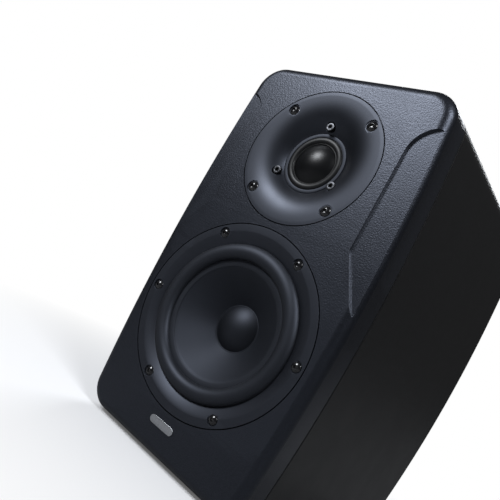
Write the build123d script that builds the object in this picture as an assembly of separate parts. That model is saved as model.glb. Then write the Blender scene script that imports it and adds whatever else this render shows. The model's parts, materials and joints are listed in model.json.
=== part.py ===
from build123d import *

import math
import os

# An active two-way bookshelf loudspeaker. Sizes are in millimetres.
# X runs to the right seen from the front, Z up, and the front face looks along -Y.
# While a piece is built, y is its depth behind the front face. The last step moves
# every piece so that the origin is the middle of the whole speaker's footprint.

# ---------------------------------------------------------------- driving sizes

# Cabinet
CABINET_HEIGHT = 309.0
CABINET_DEPTH = 266.0
WIDTH_AT_MIDDLE = 174.0
WIDTH_AT_ENDS = 158.0
CORNER_RADIUS = 18.0
INNER_CORNER_RADIUS = 4.0
FRONT_EDGE_RADIUS = 7.5
REAR_EDGE_RADIUS = 2.5
PANEL_THICKNESS = 12.0
SIDE_RETURN = 3.0
FOOT_HEIGHT = 2.5
FOOT_RADIUS = 9.0
FOOT_PEG_RADIUS = 2.5
FOOT_PEG_LENGTH = 6.0
FOOT_CHAMFER = 0.75
FOOT_INSET_X = 24.0
FOOT_INSET_Y = 26.0

# Front baffle, seam behind it and the reliefs beside the tweeter
BAFFLE_DEPTH = 28.0
BAFFLE_FACE = 16.0
BAFFLE_RIM = 10.0
SEAM_GAP = 1.0
SEAM_INSET = 1.5
SEAM_WIDTH = 7.0
RELIEF_DEPTH = 2.2
RELIEF_INNER_X = 63.3
RELIEF_TOP = 175.0
RELIEF_LOWER_KNEE = 82.0
RELIEF_TOP_RADIUS = 20.0
RELIEF_FALL_PER_MM = 1.82
BADGE_WIDTH = 24.0
BADGE_HEIGHT = 6.0
BADGE_PROUD = 0.5
BADGE_SINK = 1.0
BADGE_ABOVE_BOTTOM = 22.5

# Brace, lining and rear bass port
BRACE_THICKNESS = 10.0
BRACE_WIDTH = 16.0
BRACE_FRONT = 112.0
FOAM_THICKNESS = 10.0
FOAM_LENGTH = 62.0
FOAM_HEIGHT = 210.0
PORT_BORE = 19.0
PORT_WALL = 2.5
PORT_LENGTH = 112.0
PORT_BELOW_TOP = 49.0
PORT_FLANGE_RADIUS = 30.0
PORT_FLANGE_THICKNESS = 2.5
PORT_FLARE = 6.0
PORT_FLARE_STEP = 3.0

# Woofer
WOOFER_ABOVE_BOTTOM = 108.0
WOOFER_RADIUS = 75.0
WOOFER_FLAT_INNER = 68.0
WOOFER_OPENING = 60.5
WOOFER_SLOPE_DEPTH = 3.4
WOOFER_SLOPE_MIDDLE = 1.0
TRIM_THICKNESS = 4.5
RIM_CHAMFER = 0.5
SURROUND_THICKNESS = 0.8
SURROUND_LAND = 4.5
SURROUND_ROLL_INNER = 47.8
SURROUND_ROLL_HEIGHT = 5.2
CONE_LAND_INNER = 43.0
CONE_THICKNESS = 1.2
CONE_SLOPE = 0.8
CAP_RADIUS = 18.0
CAP_HEIGHT = 5.0
CAP_THICKNESS = 0.7
COIL_BORE = 12.6
FORMER_WALL = 0.2
WINDING_WALL = 0.7
WINDING_LENGTH = 12.0
NECK_LENGTH = 4.0
FORMER_BELOW_GAP = 5.0
FRAME_FLANGE = 3.0
FRAME_WALL = 2.5
FRAME_WALL_TOP_DEPTH = 14.0
SPIDER_SEAT_DEPTH = 38.6
SPIDER_SEAT_INNER = 37.0
SPIDER_SEAT_OUTER = 46.0
SPIDER_OUTER = 42.0
SPIDER_THICKNESS = 0.8
SPIDER_WAVE = 1.2
SPIDER_WAVES = 4
SPIDER_FLAT = 3.0
SPOKE_COUNT = 6
SPOKE_WIDTH = 13.0
WINDOW_MARGIN = 1.0
MOTOR_DEPTH = 50.0
TOP_PLATE_RADIUS = 40.0
TOP_PLATE_THICKNESS = 6.0
MAGNET_RADIUS = 45.0
MAGNET_BORE = 24.0
MAGNET_THICKNESS = 15.0
BACK_PLATE_THICKNESS = 6.0
BACK_PLATE_RADIUS = 41.0
BACK_PLATE_CHAMFER = 1.0
VENT_RADIUS = 4.0
POLE_CLEARANCE = 0.6
GAP_CLEARANCE = 0.5
WOOFER_CUTOUT_CLEARANCE = 1.5
WOOFER_SCREW_COUNT = 6
WOOFER_SCREW_CIRCLE = 69.1
WOOFER_HEAD_RADIUS = 3.75
WOOFER_SHANK_RADIUS = 2.0
SCREW_SPOT_DEPTH = 0.6
SCREW_TIP_MARGIN = 1.0
HEAD_HEIGHT_SHARE = 0.45
SOCKET_SHARE = 0.42
SOCKET_FLOOR_SHARE = 0.25
TERMINAL_WIDTH = 14.0
TERMINAL_LENGTH = 13.0
TERMINAL_THICKNESS = 1.6
BLADE_LENGTH = 6.0
BLADE_WIDTH = 2.8
BLADE_THICKNESS = 0.8

# Tweeter
TWEETER_ABOVE_WOOFER = 133.9
WAVEGUIDE_RADIUS = 52.5
WAVEGUIDE_FLAT_INNER = 50.5
WAVEGUIDE_EDGE = 5.0
WAVEGUIDE_SHOULDER_RADIUS = 29.0
WAVEGUIDE_SHOULDER_DEPTH = 5.5
WAVEGUIDE_DISH_DEPTH = 1.17
WAVEGUIDE_DEPTH = 9.7
THROAT_RADIUS = 23.8
TWEETER_MOTOR_RADIUS = 34.0
MOUNT_RING_THICKNESS = 2.0
MOUNT_RING_BORE = 19.6
TWEETER_FOIL = 0.3
TWEETER_LAND_OUTER = 22.8
TWEETER_ROLL_OUTER = 21.0
TWEETER_ROLL_HEIGHT = 1.3
DOME_RADIUS = 16.4
DOME_LAND = 1.0
DOME_HEIGHT = 5.4
TWEETER_COIL_BORE = 15.2
TWEETER_FORMER_LENGTH = 5.6
TWEETER_WINDING_LENGTH = 2.4
TWEETER_GAP_CLEARANCE = 0.45
TWEETER_PLATE_THICKNESS = 3.0
TWEETER_MAGNET_THICKNESS = 10.0
TWEETER_MAGNET_BORE = 20.0
TWEETER_BACK_THICKNESS = 4.0
REAR_CUP_RADIUS = 29.0
REAR_CUP_DEPTH = 14.0
REAR_CUP_WALL = 1.5
CUP_BOARD_WIDTH = 20.0
CUP_BOARD_HEIGHT = 10.0
CUP_BLADE_X = 6.0
TWEETER_CUTOUT_CLEARANCE = 3.0
TWEETER_SCREW_COUNT = 4
TWEETER_SCREW_CIRCLE = 46.5
TWEETER_HEAD_RADIUS = 4.0
TWEETER_SHANK_RADIUS = 1.9
MOTOR_SCREW_COUNT = 3
MOTOR_SCREW_CIRCLE = 27.7
MOTOR_HEAD_RADIUS = 3.25
MOTOR_HEAD_HEIGHT = 3.4
MOTOR_HEAD_FRONT = 4.6
MOTOR_SHANK_RADIUS = 1.6
MOTOR_POCKET_RADIUS = 3.9
MOTOR_SOCKET_RADIUS = 1.625
MOTOR_SOCKET_DEPTH = 2.04

# Amplifier plate on the rear
PLATE_WIDTH = 118.0
PLATE_HEIGHT = 180.0
PLATE_THICKNESS = 2.5
PLATE_CORNER = 6.0
PLATE_ABOVE_BOTTOM = 20.0
PLATE_OVERLAP = 10.0
PLATE_SCREW_INSET = 6.0
PLATE_SCREW_ROWS = 4
PLATE_HEAD_RADIUS = 3.2
PLATE_SHANK_RADIUS = 1.6
HEAT_SINK_WIDTH = 44.0
HEAT_SINK_HEIGHT = 130.0
HEAT_SINK_BASE = 3.0
FIN_COUNT = 9
FIN_THICKNESS = 1.6
FIN_HEIGHT = 11.0
HEAT_SINK_X = -25.0
CONTROL_X = 24.0
CONTROL_SPREAD = 12.0
BOARD_WIDTH = 92.0
BOARD_HEIGHT = 150.0
BOARD_THICKNESS = 1.6
BOARD_STANDOFF = 26.0
BOARD_CORNER = 2.0
STANDOFF_RADIUS = 2.8
STANDOFF_INSET = 4.0
STANDOFF_BORE = 1.4
CAPACITOR_RADIUS = 9.0
CAPACITOR_LENGTH = 25.0
CAPACITOR_PITCH = 21.6
CAPACITOR_EDGE = 1.0
CHIP_SIZE = 15.0
CHIP_THICKNESS = 4.6
CHIP_LEG_RADIUS = 0.5
CHIP_LEGS = 5
CHIP_LEG_PITCH = 2.5
CHIP_PITCH = 30.0
TRANSFORMER_RADIUS = 35.0
TRANSFORMER_BORE = 9.0
TRANSFORMER_HEIGHT = 30.0
TRANSFORMER_EDGE = 7.5
TRANSFORMER_DEPTH_PLACE = 165.0
VOLUME_OFFSET_Z = 72.0
VOLUME_KNOB_RADIUS = 9.0
VOLUME_KNOB_LENGTH = 12.0
TRIM_OFFSET_Z = 47.0
TRIM_KNOB_RADIUS = 5.0
TRIM_KNOB_LENGTH = 8.0
SHAFT_RADIUS = 3.0
POT_SIZE = 16.0
POT_DEPTH = 10.0
TRIM_POT_SIZE = 10.0
POT_CORNER = 1.0
POT_BORE_SHARE = 0.8
KNOB_GAP = 0.6
KNOB_RIBS = 18
KNOB_EDGE_SHARE = 0.12
KNOB_RIB_SHARE = 0.1
KNOB_RIB_CIRCLE_SHARE = 1.04
KNOB_SKIRT_SHARE = 0.2
KNOB_LINE_DEPTH = 0.5
KNOB_LINE_WIDTH_SHARE = 0.16
KNOB_LINE_LENGTH_SHARE = 0.7
KNOB_LINE_PLACE_SHARE = 0.6
XLR_OFFSET_Z = 19.0
XLR_WIDTH = 26.0
XLR_HEIGHT = 31.0
XLR_BARREL_RADIUS = 11.5
XLR_DEPTH = 20.0
XLR_RING_OUTER = 9.9
XLR_RING_INNER = 8.2
XLR_RING_DEPTH = 12.0
XLR_PIN_CIRCLE = 4.2
XLR_PIN_RADIUS = 1.6
XLR_FIRST_PIN = 60.0
SOCKET_CORNER = 2.0
LINE_OFFSET_Z = -9.0
TRS_BORE = 3.2
TRS_BARREL = 4.5
TRS_NUT = 6.0
TRS_DEPTH = 24.0
TRS_END_WALL = 2.0
RCA_SHELL = 4.15
RCA_LENGTH = 9.0
RCA_PIN_BORE = 1.65
RCA_SHELL_WALL = 0.5
RCA_GROOVE = 0.9
RCA_GROOVE_FLOOR = 1.0
RCA_BASE = 7.0
SWITCH_OFFSET_Z = -31.0
SWITCH_WIDTH = 15.0
SWITCH_HEIGHT = 21.0
SWITCH_DEPTH = 14.0
ROCKER_WIDTH = 9.6
ROCKER_HEIGHT = 15.6
ROCKER_THICKNESS = 5.0
ROCKER_TILT = 7.0
ROCKER_PIN_RADIUS = 1.2
ROCKER_SIDE_GAP = 0.5
ROCKER_END_GAP = 1.0
ROCKER_PIN_REACH = 1.0
ROCKER_DISH_SHARE = 0.55
SWITCH_CORNER = 1.0
INLET_OFFSET_Z = -61.5
INLET_WIDTH = 30.0
INLET_HEIGHT = 38.0
INLET_DEPTH = 23.0
INLET_SOCKET_WIDTH = 24.4
INLET_SOCKET_HEIGHT = 16.4
INLET_SOCKET_DEPTH = 17.0
INLET_SOCKET_OFFSET = 6.5
INLET_PIN_WIDTH = 2.0
INLET_PIN_HEIGHT = 4.0
INLET_PIN_SPREAD = 7.0
INLET_PIN_DROP = 2.0
INLET_EARTH_RISE = 2.5
INLET_PIN_BACKSET = 3.0
INLET_SOCKET_CHAMFER = 4.0
DRAWER_WIDTH = 23.0
DRAWER_HEIGHT = 7.6
DRAWER_LENGTH = 18.0
DRAWER_OFFSET = -10.5
NOTCH_WIDTH = 6.0
NOTCH_HEIGHT = 2.0
NOTCH_DEPTH = 1.5
FUSE_RADIUS = 2.5
FUSE_LENGTH = 20.0
BEZEL = 2.0
WIRE_RADIUS = 1.6
WIRE_BEND = 12.0

# Clearances
FLUSH_GAP = 0.5
HOLE_CLEARANCE = 0.05
RUNNING_CLEARANCE = 0.05
SLIDING_CLEARANCE = 0.3
SEAT_CLEARANCE = 0.3

# ---------------------------------------------------------------- worked-out places

CABINET_MIDDLE_Z = FOOT_HEIGHT + CABINET_HEIGHT / 2
INSIDE_BOTTOM = FOOT_HEIGHT + PANEL_THICKNESS
WOOFER_Z = FOOT_HEIGHT + WOOFER_ABOVE_BOTTOM
TWEETER_Z = WOOFER_Z + TWEETER_ABOVE_WOOFER
BODY_FRONT = BAFFLE_DEPTH + SEAM_GAP
REAR_INSIDE = CABINET_DEPTH - PANEL_THICKNESS
SPLIT_X = WIDTH_AT_ENDS / 2 - CORNER_RADIUS - SIDE_RETURN
PORT_Z = FOOT_HEIGHT + CABINET_HEIGHT - PORT_BELOW_TOP

LAND_FRONT = TRIM_THICKNESS
LAND_BACK = LAND_FRONT + SURROUND_THICKNESS
FRAME_BACK = LAND_BACK + FRAME_FLANGE
FRAME_INNER = WOOFER_OPENING - FRAME_WALL
WOOFER_CUTOUT = WOOFER_OPENING + WOOFER_CUTOUT_CLEARANCE
CONE_BACK = LAND_BACK + CONE_THICKNESS
FORMER_OUTER = COIL_BORE + FORMER_WALL
WINDING_OUTER = FORMER_OUTER + WINDING_WALL
NECK_FRONT = LAND_BACK + CONE_SLOPE * (CONE_LAND_INNER - FORMER_OUTER)
NECK_BACK = NECK_FRONT + NECK_LENGTH
CAP_RIM_DEPTH = LAND_BACK + CONE_SLOPE * (CONE_LAND_INNER - CAP_RADIUS)
GAP_MIDDLE = MOTOR_DEPTH + TOP_PLATE_THICKNESS / 2
FORMER_BACK = GAP_MIDDLE + WINDING_LENGTH / 2
SPIDER_FRONT = SPIDER_SEAT_DEPTH - SPIDER_THICKNESS
MAGNET_FRONT = MOTOR_DEPTH + TOP_PLATE_THICKNESS
MAGNET_BACK = MAGNET_FRONT + MAGNET_THICKNESS

WAVEGUIDE_BACK = WAVEGUIDE_DEPTH + TWEETER_FOIL
RING_BACK = WAVEGUIDE_BACK + MOUNT_RING_THICKNESS
TWEETER_PLATE_BACK = RING_BACK + TWEETER_PLATE_THICKNESS
TWEETER_MAGNET_BACK = TWEETER_PLATE_BACK + TWEETER_MAGNET_THICKNESS
TWEETER_BACK = TWEETER_MAGNET_BACK + TWEETER_BACK_THICKNESS
TWEETER_CUTOUT = TWEETER_MOTOR_RADIUS + TWEETER_CUTOUT_CLEARANCE
TWEETER_FORMER_OUTER = TWEETER_COIL_BORE + TWEETER_FOIL
TWEETER_WINDING_OUTER = TWEETER_FORMER_OUTER + TWEETER_FOIL

PLATE_INSIDE = CABINET_DEPTH
PLATE_OUTSIDE = CABINET_DEPTH + PLATE_THICKNESS
PLATE_Z = FOOT_HEIGHT + PLATE_ABOVE_BOTTOM + PLATE_HEIGHT / 2
HEAT_SINK_BACK = PLATE_OUTSIDE + HEAT_SINK_BASE + FIN_HEIGHT
VOLUME_BACK = PLATE_OUTSIDE + KNOB_GAP + VOLUME_KNOB_LENGTH
BOARD_BACK = PLATE_INSIDE - BOARD_STANDOFF
BOARD_FRONT = BOARD_BACK - BOARD_THICKNESS
VOLUME_Z = PLATE_Z + VOLUME_OFFSET_Z
TRIM_Z = PLATE_Z + TRIM_OFFSET_Z
XLR_Z = PLATE_Z + XLR_OFFSET_Z
LINE_Z = PLATE_Z + LINE_OFFSET_Z
SWITCH_Z = PLATE_Z + SWITCH_OFFSET_Z
INLET_Z = PLATE_Z + INLET_OFFSET_Z
SOCKET_Z = INLET_Z + INLET_SOCKET_OFFSET
DRAWER_Z = INLET_Z + DRAWER_OFFSET
LEFT_CONTROL_X = CONTROL_X - CONTROL_SPREAD
RIGHT_CONTROL_X = CONTROL_X + CONTROL_SPREAD
ROCKER_PIVOT_Y = PLATE_OUTSIDE + BEZEL - ROCKER_THICKNESS / 2

FRONT_REACH = WOOFER_HEAD_RADIUS * HEAD_HEIGHT_SHARE - SCREW_SPOT_DEPTH
REAR_REACH = max(HEAT_SINK_BACK, VOLUME_BACK)
ORIGIN_SHIFT = -(REAR_REACH - FRONT_REACH) / 2


# ---------------------------------------------------------------- helpers

def outline(inset=0.0):
    """Front view of the cabinet, moved inwards: level ends and sides that bow outwards."""
    half_end = WIDTH_AT_ENDS / 2 - inset
    half_middle = WIDTH_AT_MIDDLE / 2 - inset
    half_height = CABINET_HEIGHT / 2 - inset
    corner = max(CORNER_RADIUS - inset, INNER_CORNER_RADIUS)
    edges = [
        ThreePointArc((half_end, -half_height), (half_middle, 0), (half_end, half_height)),
        Line((half_end, half_height), (-half_end, half_height)),
        ThreePointArc((-half_end, half_height), (-half_middle, 0), (-half_end, -half_height)),
        Line((-half_end, -half_height), (half_end, -half_height)),
    ]
    face = make_face(edges)
    return Pos(0, CABINET_MIDDLE_Z) * fillet(face.vertices(), corner)


def slab(sketch, y_from, y_to):
    """A flat shape drawn in x and z, made solid from one depth to the other."""
    return extrude(Plane.XZ.offset(-y_to) * sketch, amount=y_to - y_from)


def plate(width, height, x, z, y_from, y_to, corner=0.0):
    """A rectangular plate in the x-z plane, with rounded corners where asked."""
    shape = RectangleRounded(width, height, corner) if corner else Rectangle(width, height)
    return slab(Pos(x, z) * shape, y_from, y_to)


def disc(radius, x, z, y_from, y_to):
    """A round bar or hole along y."""
    return slab(Pos(x, z) * Circle(radius), y_from, y_to)


def tube(outer, inner, x, z, y_from, y_to):
    """A straight tube along y."""
    return slab(Pos(x, z) * (Circle(outer) - Circle(inner)), y_from, y_to)


def turned(points, z, x=0.0):
    """A closed outline of (radius, y) points turned about the driver's axis."""
    profile = make_face(Polyline(*points, close=True))
    return Pos(x, 0, z) * revolve(profile, Axis.Y)


def ring_places(count, circle, first_angle):
    """Places on a circle, as (x, z), with angles in degrees from straight up."""
    angles = [math.radians(first_angle + index * 360 / count) for index in range(count)]
    return [(circle * math.sin(angle), circle * math.cos(angle)) for angle in angles]


def dome_screw(head_radius, shank_radius, length):
    """A pan-head screw with a hexagon socket; its head rises towards -y from y = 0."""
    head_height = head_radius * HEAD_HEIGHT_SHARE
    sphere_radius = (head_radius**2 + head_height**2) / (2 * head_height)
    head = Pos(0, sphere_radius - head_height, 0) * Sphere(sphere_radius)
    head &= Pos(0, -head_radius, 0) * Box(4 * head_radius, 2 * head_radius, 4 * head_radius)
    socket = RegularPolygon(head_radius * SOCKET_SHARE, 6)
    socket = slab(socket, -head_height, -head_height * SOCKET_FLOOR_SHARE)
    shank = disc(shank_radius, 0, 0, 0, length)
    return head + shank - socket


def all_of(solids):
    """Several separate solids kept together as one node."""
    return Compound(children=[solid for part in solids for solid in part.solids()])


# ---------------------------------------------------------------- cabinet

def relief(side):
    """Outline of the shallow relief beside the tweeter, on the right (1) or the left (-1)."""
    outer_x = WIDTH_AT_MIDDLE / 2 + FRONT_EDGE_RADIUS
    top = WOOFER_Z + RELIEF_TOP
    knee = WOOFER_Z + RELIEF_LOWER_KNEE
    fall = RELIEF_FALL_PER_MM * (outer_x - RELIEF_INNER_X)
    arc_start = (RELIEF_INNER_X, top - RELIEF_TOP_RADIUS)
    arc_end = (RELIEF_INNER_X + RELIEF_TOP_RADIUS, top)
    edges = [
        Line((outer_x, knee - fall), (RELIEF_INNER_X, knee)),
        Line((RELIEF_INNER_X, knee), arc_start),
        RadiusArc(arc_start, arc_end, RELIEF_TOP_RADIUS),
        Line(arc_end, (outer_x, top)),
        Line((outer_x, top), (outer_x, knee - fall)),
    ]
    shape = make_face(edges)
    return shape if side > 0 else mirror(shape, about=Plane.YZ)


def front_baffle():
    """Deep front moulding with the seats for both drivers."""
    body = slab(outline(), 0, BAFFLE_DEPTH)
    body = fillet(body.faces().sort_by(Axis.Y)[0].edges(), FRONT_EDGE_RADIUS)
    body -= slab(outline(BAFFLE_RIM), BAFFLE_FACE, BAFFLE_DEPTH)
    for side in (1, -1):
        body -= slab(relief(side), -RELIEF_DEPTH, RELIEF_DEPTH)
    body -= disc(WOOFER_RADIUS + FLUSH_GAP, 0, WOOFER_Z, 0, FRAME_BACK)
    body -= disc(WOOFER_CUTOUT, 0, WOOFER_Z, 0, BAFFLE_FACE)
    body -= disc(WAVEGUIDE_RADIUS + FLUSH_GAP, 0, TWEETER_Z, 0, WAVEGUIDE_EDGE)
    body -= disc(TWEETER_CUTOUT, 0, TWEETER_Z, 0, BAFFLE_FACE)
    for x, z in woofer_screw_places():
        body -= disc(WOOFER_SHANK_RADIUS + HOLE_CLEARANCE, x, z, 0, BAFFLE_FACE)
    for x, z in tweeter_screw_places():
        body -= disc(TWEETER_SHANK_RADIUS + HOLE_CLEARANCE, x, z, 0, BAFFLE_FACE)
    body -= badge_shape(HOLE_CLEARANCE, 0, BADGE_SINK)
    return body


def badge_shape(grow, y_from, y_to):
    """The small blank badge low on the baffle, or the pocket it sits in."""
    width = BADGE_WIDTH + 2 * grow
    height = BADGE_HEIGHT + 2 * grow
    z = FOOT_HEIGHT + BADGE_ABOVE_BOTTOM
    return slab(Pos(0, z) * SlotOverall(width, height), y_from, y_to)


def cabinet_ring():
    """The cabinet's outer walls in one piece, before they are parted into panels."""
    ring = slab(outline(), BODY_FRONT, CABINET_DEPTH)
    ring = fillet(ring.faces().sort_by(Axis.Y)[-1].edges(), REAR_EDGE_RADIUS)
    return ring - slab(outline(PANEL_THICKNESS), BODY_FRONT, CABINET_DEPTH)


def cabinet_panels():
    """Two bowed side panels with the top and bottom panels between them."""
    ring = cabinet_ring()
    reach = 2 * CABINET_HEIGHT
    between = Box(2 * SPLIT_X, 2 * CABINET_DEPTH, reach)
    upper = Pos(0, 0, CABINET_MIDDLE_Z + reach / 2) * between
    lower = Pos(0, 0, CABINET_MIDDLE_Z - reach / 2) * between
    right = Pos(SPLIT_X + reach / 2, 0, 0) * Box(reach, 2 * CABINET_DEPTH, 2 * reach)
    left = Pos(-SPLIT_X - reach / 2, 0, 0) * Box(reach, 2 * CABINET_DEPTH, 2 * reach)
    bottom = ring & lower
    for x, y in foot_places():
        hole = Cylinder(FOOT_PEG_RADIUS + HOLE_CLEARANCE, FOOT_PEG_LENGTH)
        bottom -= Pos(x, y, FOOT_HEIGHT + FOOT_PEG_LENGTH / 2) * hole
    return ring & left, ring & right, ring & upper, bottom


def foot_places():
    """Middle of each foot in x and y."""
    x = WIDTH_AT_ENDS / 2 - FOOT_INSET_X
    y_front = BODY_FRONT + FOOT_INSET_Y
    y_back = CABINET_DEPTH - FOOT_INSET_Y
    return [(side * x, y) for side in (-1, 1) for y in (y_front, y_back)]


def rubber_feet():
    """Four low feet, each with a peg that plugs into the bottom panel."""
    feet = []
    for x, y in foot_places():
        pad = Pos(x, y, FOOT_HEIGHT / 2) * Cylinder(FOOT_RADIUS, FOOT_HEIGHT)
        pad = chamfer(pad.edges().group_by(Axis.Z)[0], FOOT_CHAMFER)
        peg = Cylinder(FOOT_PEG_RADIUS, FOOT_PEG_LENGTH - SEAT_CLEARANCE)
        peg_z = FOOT_HEIGHT + (FOOT_PEG_LENGTH - SEAT_CLEARANCE) / 2
        feet.append(pad + Pos(x, y, peg_z) * peg)
    return all_of(feet)


def cabinet_gasket():
    """Dark sealing ring that shows as the seam behind the baffle."""
    ring = outline(SEAM_INSET) - outline(SEAM_INSET + SEAM_WIDTH)
    return slab(ring, BAFFLE_DEPTH, BODY_FRONT)


def rear_panel():
    """Rear wall, let in flush between the other panels."""
    panel = slab(outline(PANEL_THICKNESS), REAR_INSIDE, CABINET_DEPTH)
    width = PLATE_WIDTH - 2 * PLATE_OVERLAP
    height = PLATE_HEIGHT - 2 * PLATE_OVERLAP
    panel -= plate(width, height, 0, PLATE_Z, REAR_INSIDE, CABINET_DEPTH, PLATE_CORNER)
    panel -= disc(PORT_BORE + PORT_WALL + HOLE_CLEARANCE, 0, PORT_Z, REAR_INSIDE, CABINET_DEPTH)
    for x, z in plate_screw_places():
        panel -= disc(PLATE_SHANK_RADIUS + HOLE_CLEARANCE, x, z, REAR_INSIDE, CABINET_DEPTH)
    return panel


def internal_brace():
    """Window-shaped brace glued across the cabinet."""
    frame = outline(PANEL_THICKNESS) - outline(PANEL_THICKNESS + BRACE_WIDTH)
    return slab(frame, BRACE_FRONT, BRACE_FRONT + BRACE_THICKNESS)


def damping_foam():
    """Two foam pads that follow the bowed side walls."""
    y_from = BRACE_FRONT + BRACE_THICKNESS
    ring = outline(PANEL_THICKNESS + SEAT_CLEARANCE) - outline(PANEL_THICKNESS + FOAM_THICKNESS)
    band = Pos(0, CABINET_MIDDLE_Z) * Rectangle(2 * WIDTH_AT_MIDDLE, FOAM_HEIGHT)
    return all_of([slab(ring & band, y_from, y_from + FOAM_LENGTH)])


def port_tube():
    """Rear bass port with a flared mouth and a flange on the rear panel."""
    outer = PORT_BORE + PORT_WALL
    y_in = CABINET_DEPTH - PORT_LENGTH
    y_out = CABINET_DEPTH + PORT_FLANGE_THICKNESS
    body = tube(outer, PORT_BORE, 0, PORT_Z, y_in, y_out)
    body += tube(PORT_FLANGE_RADIUS, PORT_BORE, 0, PORT_Z, CABINET_DEPTH, y_out)
    rim = PORT_BORE + PORT_FLARE
    waist = PORT_BORE + PORT_WALL / 2
    flare = turned([
        (0, y_out - PORT_FLARE), (PORT_BORE, y_out - PORT_FLARE), (waist, y_out - PORT_FLARE_STEP),
        (rim, y_out), (0, y_out),
    ], PORT_Z)
    return body - flare


# ---------------------------------------------------------------- woofer

def woofer_screw_places():
    return [(x, WOOFER_Z + z) for x, z in ring_places(WOOFER_SCREW_COUNT, WOOFER_SCREW_CIRCLE, 30)]


def woofer_trim_ring():
    """Satin ring that covers the rim of the frame and slopes to the surround."""
    middle = (WOOFER_OPENING + WOOFER_FLAT_INNER) / 2
    ring = turned([
        (WOOFER_OPENING, WOOFER_SLOPE_DEPTH), (middle, WOOFER_SLOPE_MIDDLE),
        (WOOFER_FLAT_INNER, 0), (WOOFER_RADIUS - RIM_CHAMFER, 0),
        (WOOFER_RADIUS, RIM_CHAMFER), (WOOFER_RADIUS, TRIM_THICKNESS), (WOOFER_OPENING, TRIM_THICKNESS),
    ], WOOFER_Z)
    for x, z in woofer_screw_places():
        ring -= disc(WOOFER_HEAD_RADIUS + SLIDING_CLEARANCE, x, z, -1, SCREW_SPOT_DEPTH)
        ring -= disc(WOOFER_SHANK_RADIUS + HOLE_CLEARANCE, x, z, 0, TRIM_THICKNESS)
    return ring


def woofer_frame():
    """Cast basket: flange, six sloping spokes, spider seat and motor seat."""
    seat_back = SPIDER_SEAT_DEPTH + FRAME_WALL
    neck_outer = SPIDER_SEAT_INNER + FRAME_WALL
    basket = turned([
        (FRAME_INNER, LAND_BACK), (WOOFER_RADIUS, LAND_BACK), (WOOFER_RADIUS, FRAME_BACK),
        (WOOFER_OPENING, FRAME_BACK), (WOOFER_OPENING, FRAME_WALL_TOP_DEPTH),
        (SPIDER_SEAT_OUTER + FRAME_WALL, SPIDER_SEAT_DEPTH), (SPIDER_SEAT_OUTER + FRAME_WALL, seat_back),
        (neck_outer, seat_back), (neck_outer, MOTOR_DEPTH), (WINDING_OUTER + FRAME_WALL, MOTOR_DEPTH),
        (WINDING_OUTER + FRAME_WALL, MOTOR_DEPTH - FRAME_WALL),
        (SPIDER_SEAT_INNER, MOTOR_DEPTH - FRAME_WALL), (SPIDER_SEAT_INNER, SPIDER_SEAT_DEPTH),
        (SPIDER_SEAT_OUTER, SPIDER_SEAT_DEPTH), (FRAME_INNER, FRAME_WALL_TOP_DEPTH),
    ], WOOFER_Z)
    outer = WOOFER_OPENING + WINDOW_MARGIN
    inner = SPIDER_SEAT_OUTER - WINDOW_MARGIN
    band = tube(outer, inner, 0, WOOFER_Z, FRAME_WALL_TOP_DEPTH, SPIDER_SEAT_DEPTH)
    for index in range(SPOKE_COUNT):
        spoke = Pos(0, 0, outer) * Box(SPOKE_WIDTH, 2 * CABINET_DEPTH, 2 * outer)
        band -= Pos(0, 0, WOOFER_Z) * Rot(0, index * 360 / SPOKE_COUNT, 0) * spoke
    basket -= band
    for x, z in woofer_screw_places():
        basket -= disc(WOOFER_SHANK_RADIUS + HOLE_CLEARANCE, x, z, LAND_BACK, FRAME_BACK)
    return basket


def rolled_ring(outer_land, roll_outer, roll_inner, inner_land, front, thickness, height):
    """A thin ring: flat land, raised half roll, flat land, as an (r, y) face."""
    middle = (roll_outer + roll_inner) / 2
    back = front + thickness
    edges = [
        Line((outer_land, front), (roll_outer, front)),
        ThreePointArc((roll_outer, front), (middle, front - height), (roll_inner, front)),
        Line((roll_inner, front), (inner_land, front)),
        Line((inner_land, front), (inner_land, back)),
        Line((inner_land, back), (roll_inner + thickness, back)),
        ThreePointArc(
            (roll_inner + thickness, back), (middle, front - height + thickness),
            (roll_outer - thickness, back),
        ),
        Line((roll_outer - thickness, back), (outer_land, back)),
        Line((outer_land, back), (outer_land, front)),
    ]
    return make_face(edges)


def woofer_surround():
    """Half-roll rubber surround with a land on the frame and one on the cone."""
    profile = rolled_ring(
        WOOFER_OPENING + SURROUND_LAND, WOOFER_OPENING, SURROUND_ROLL_INNER,
        CONE_LAND_INNER + HOLE_CLEARANCE, LAND_FRONT, SURROUND_THICKNESS, SURROUND_ROLL_HEIGHT,
    )
    return Pos(0, 0, WOOFER_Z) * revolve(profile, Axis.Y)


def woofer_cone():
    """Smooth cone with a flat rim for the surround and a neck for the coil former."""
    neck_wall = FORMER_OUTER + CONE_THICKNESS
    return turned([
        (FORMER_OUTER, NECK_FRONT), (CONE_LAND_INNER, LAND_BACK), (SURROUND_ROLL_INNER, LAND_BACK),
        (SURROUND_ROLL_INNER, CONE_BACK), (CONE_LAND_INNER, CONE_BACK),
        (neck_wall, NECK_FRONT + CONE_THICKNESS), (neck_wall, NECK_BACK), (FORMER_OUTER, NECK_BACK),
    ], WOOFER_Z)


def dished_cap(rim_radius, rim_depth, height, thickness, z):
    """A thin domed cap that bulges forwards from a rim at the given depth."""
    outer = (rim_radius**2 + height**2) / (2 * height)
    inner = outer - thickness
    centre = rim_depth - height + outer
    shell = Pos(0, centre, z) * (Sphere(outer) - Sphere(inner))
    keep = Pos(0, rim_depth - height, z) * Box(2 * outer, 2 * height, 2 * outer)
    return shell & keep


def woofer_dust_cap():
    return dished_cap(CAP_RADIUS, CAP_RIM_DEPTH, CAP_HEIGHT, CAP_THICKNESS, WOOFER_Z)


def woofer_coil_former():
    return tube(FORMER_OUTER, COIL_BORE, 0, WOOFER_Z, NECK_FRONT, FORMER_BACK + FORMER_BELOW_GAP / 2)


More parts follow.
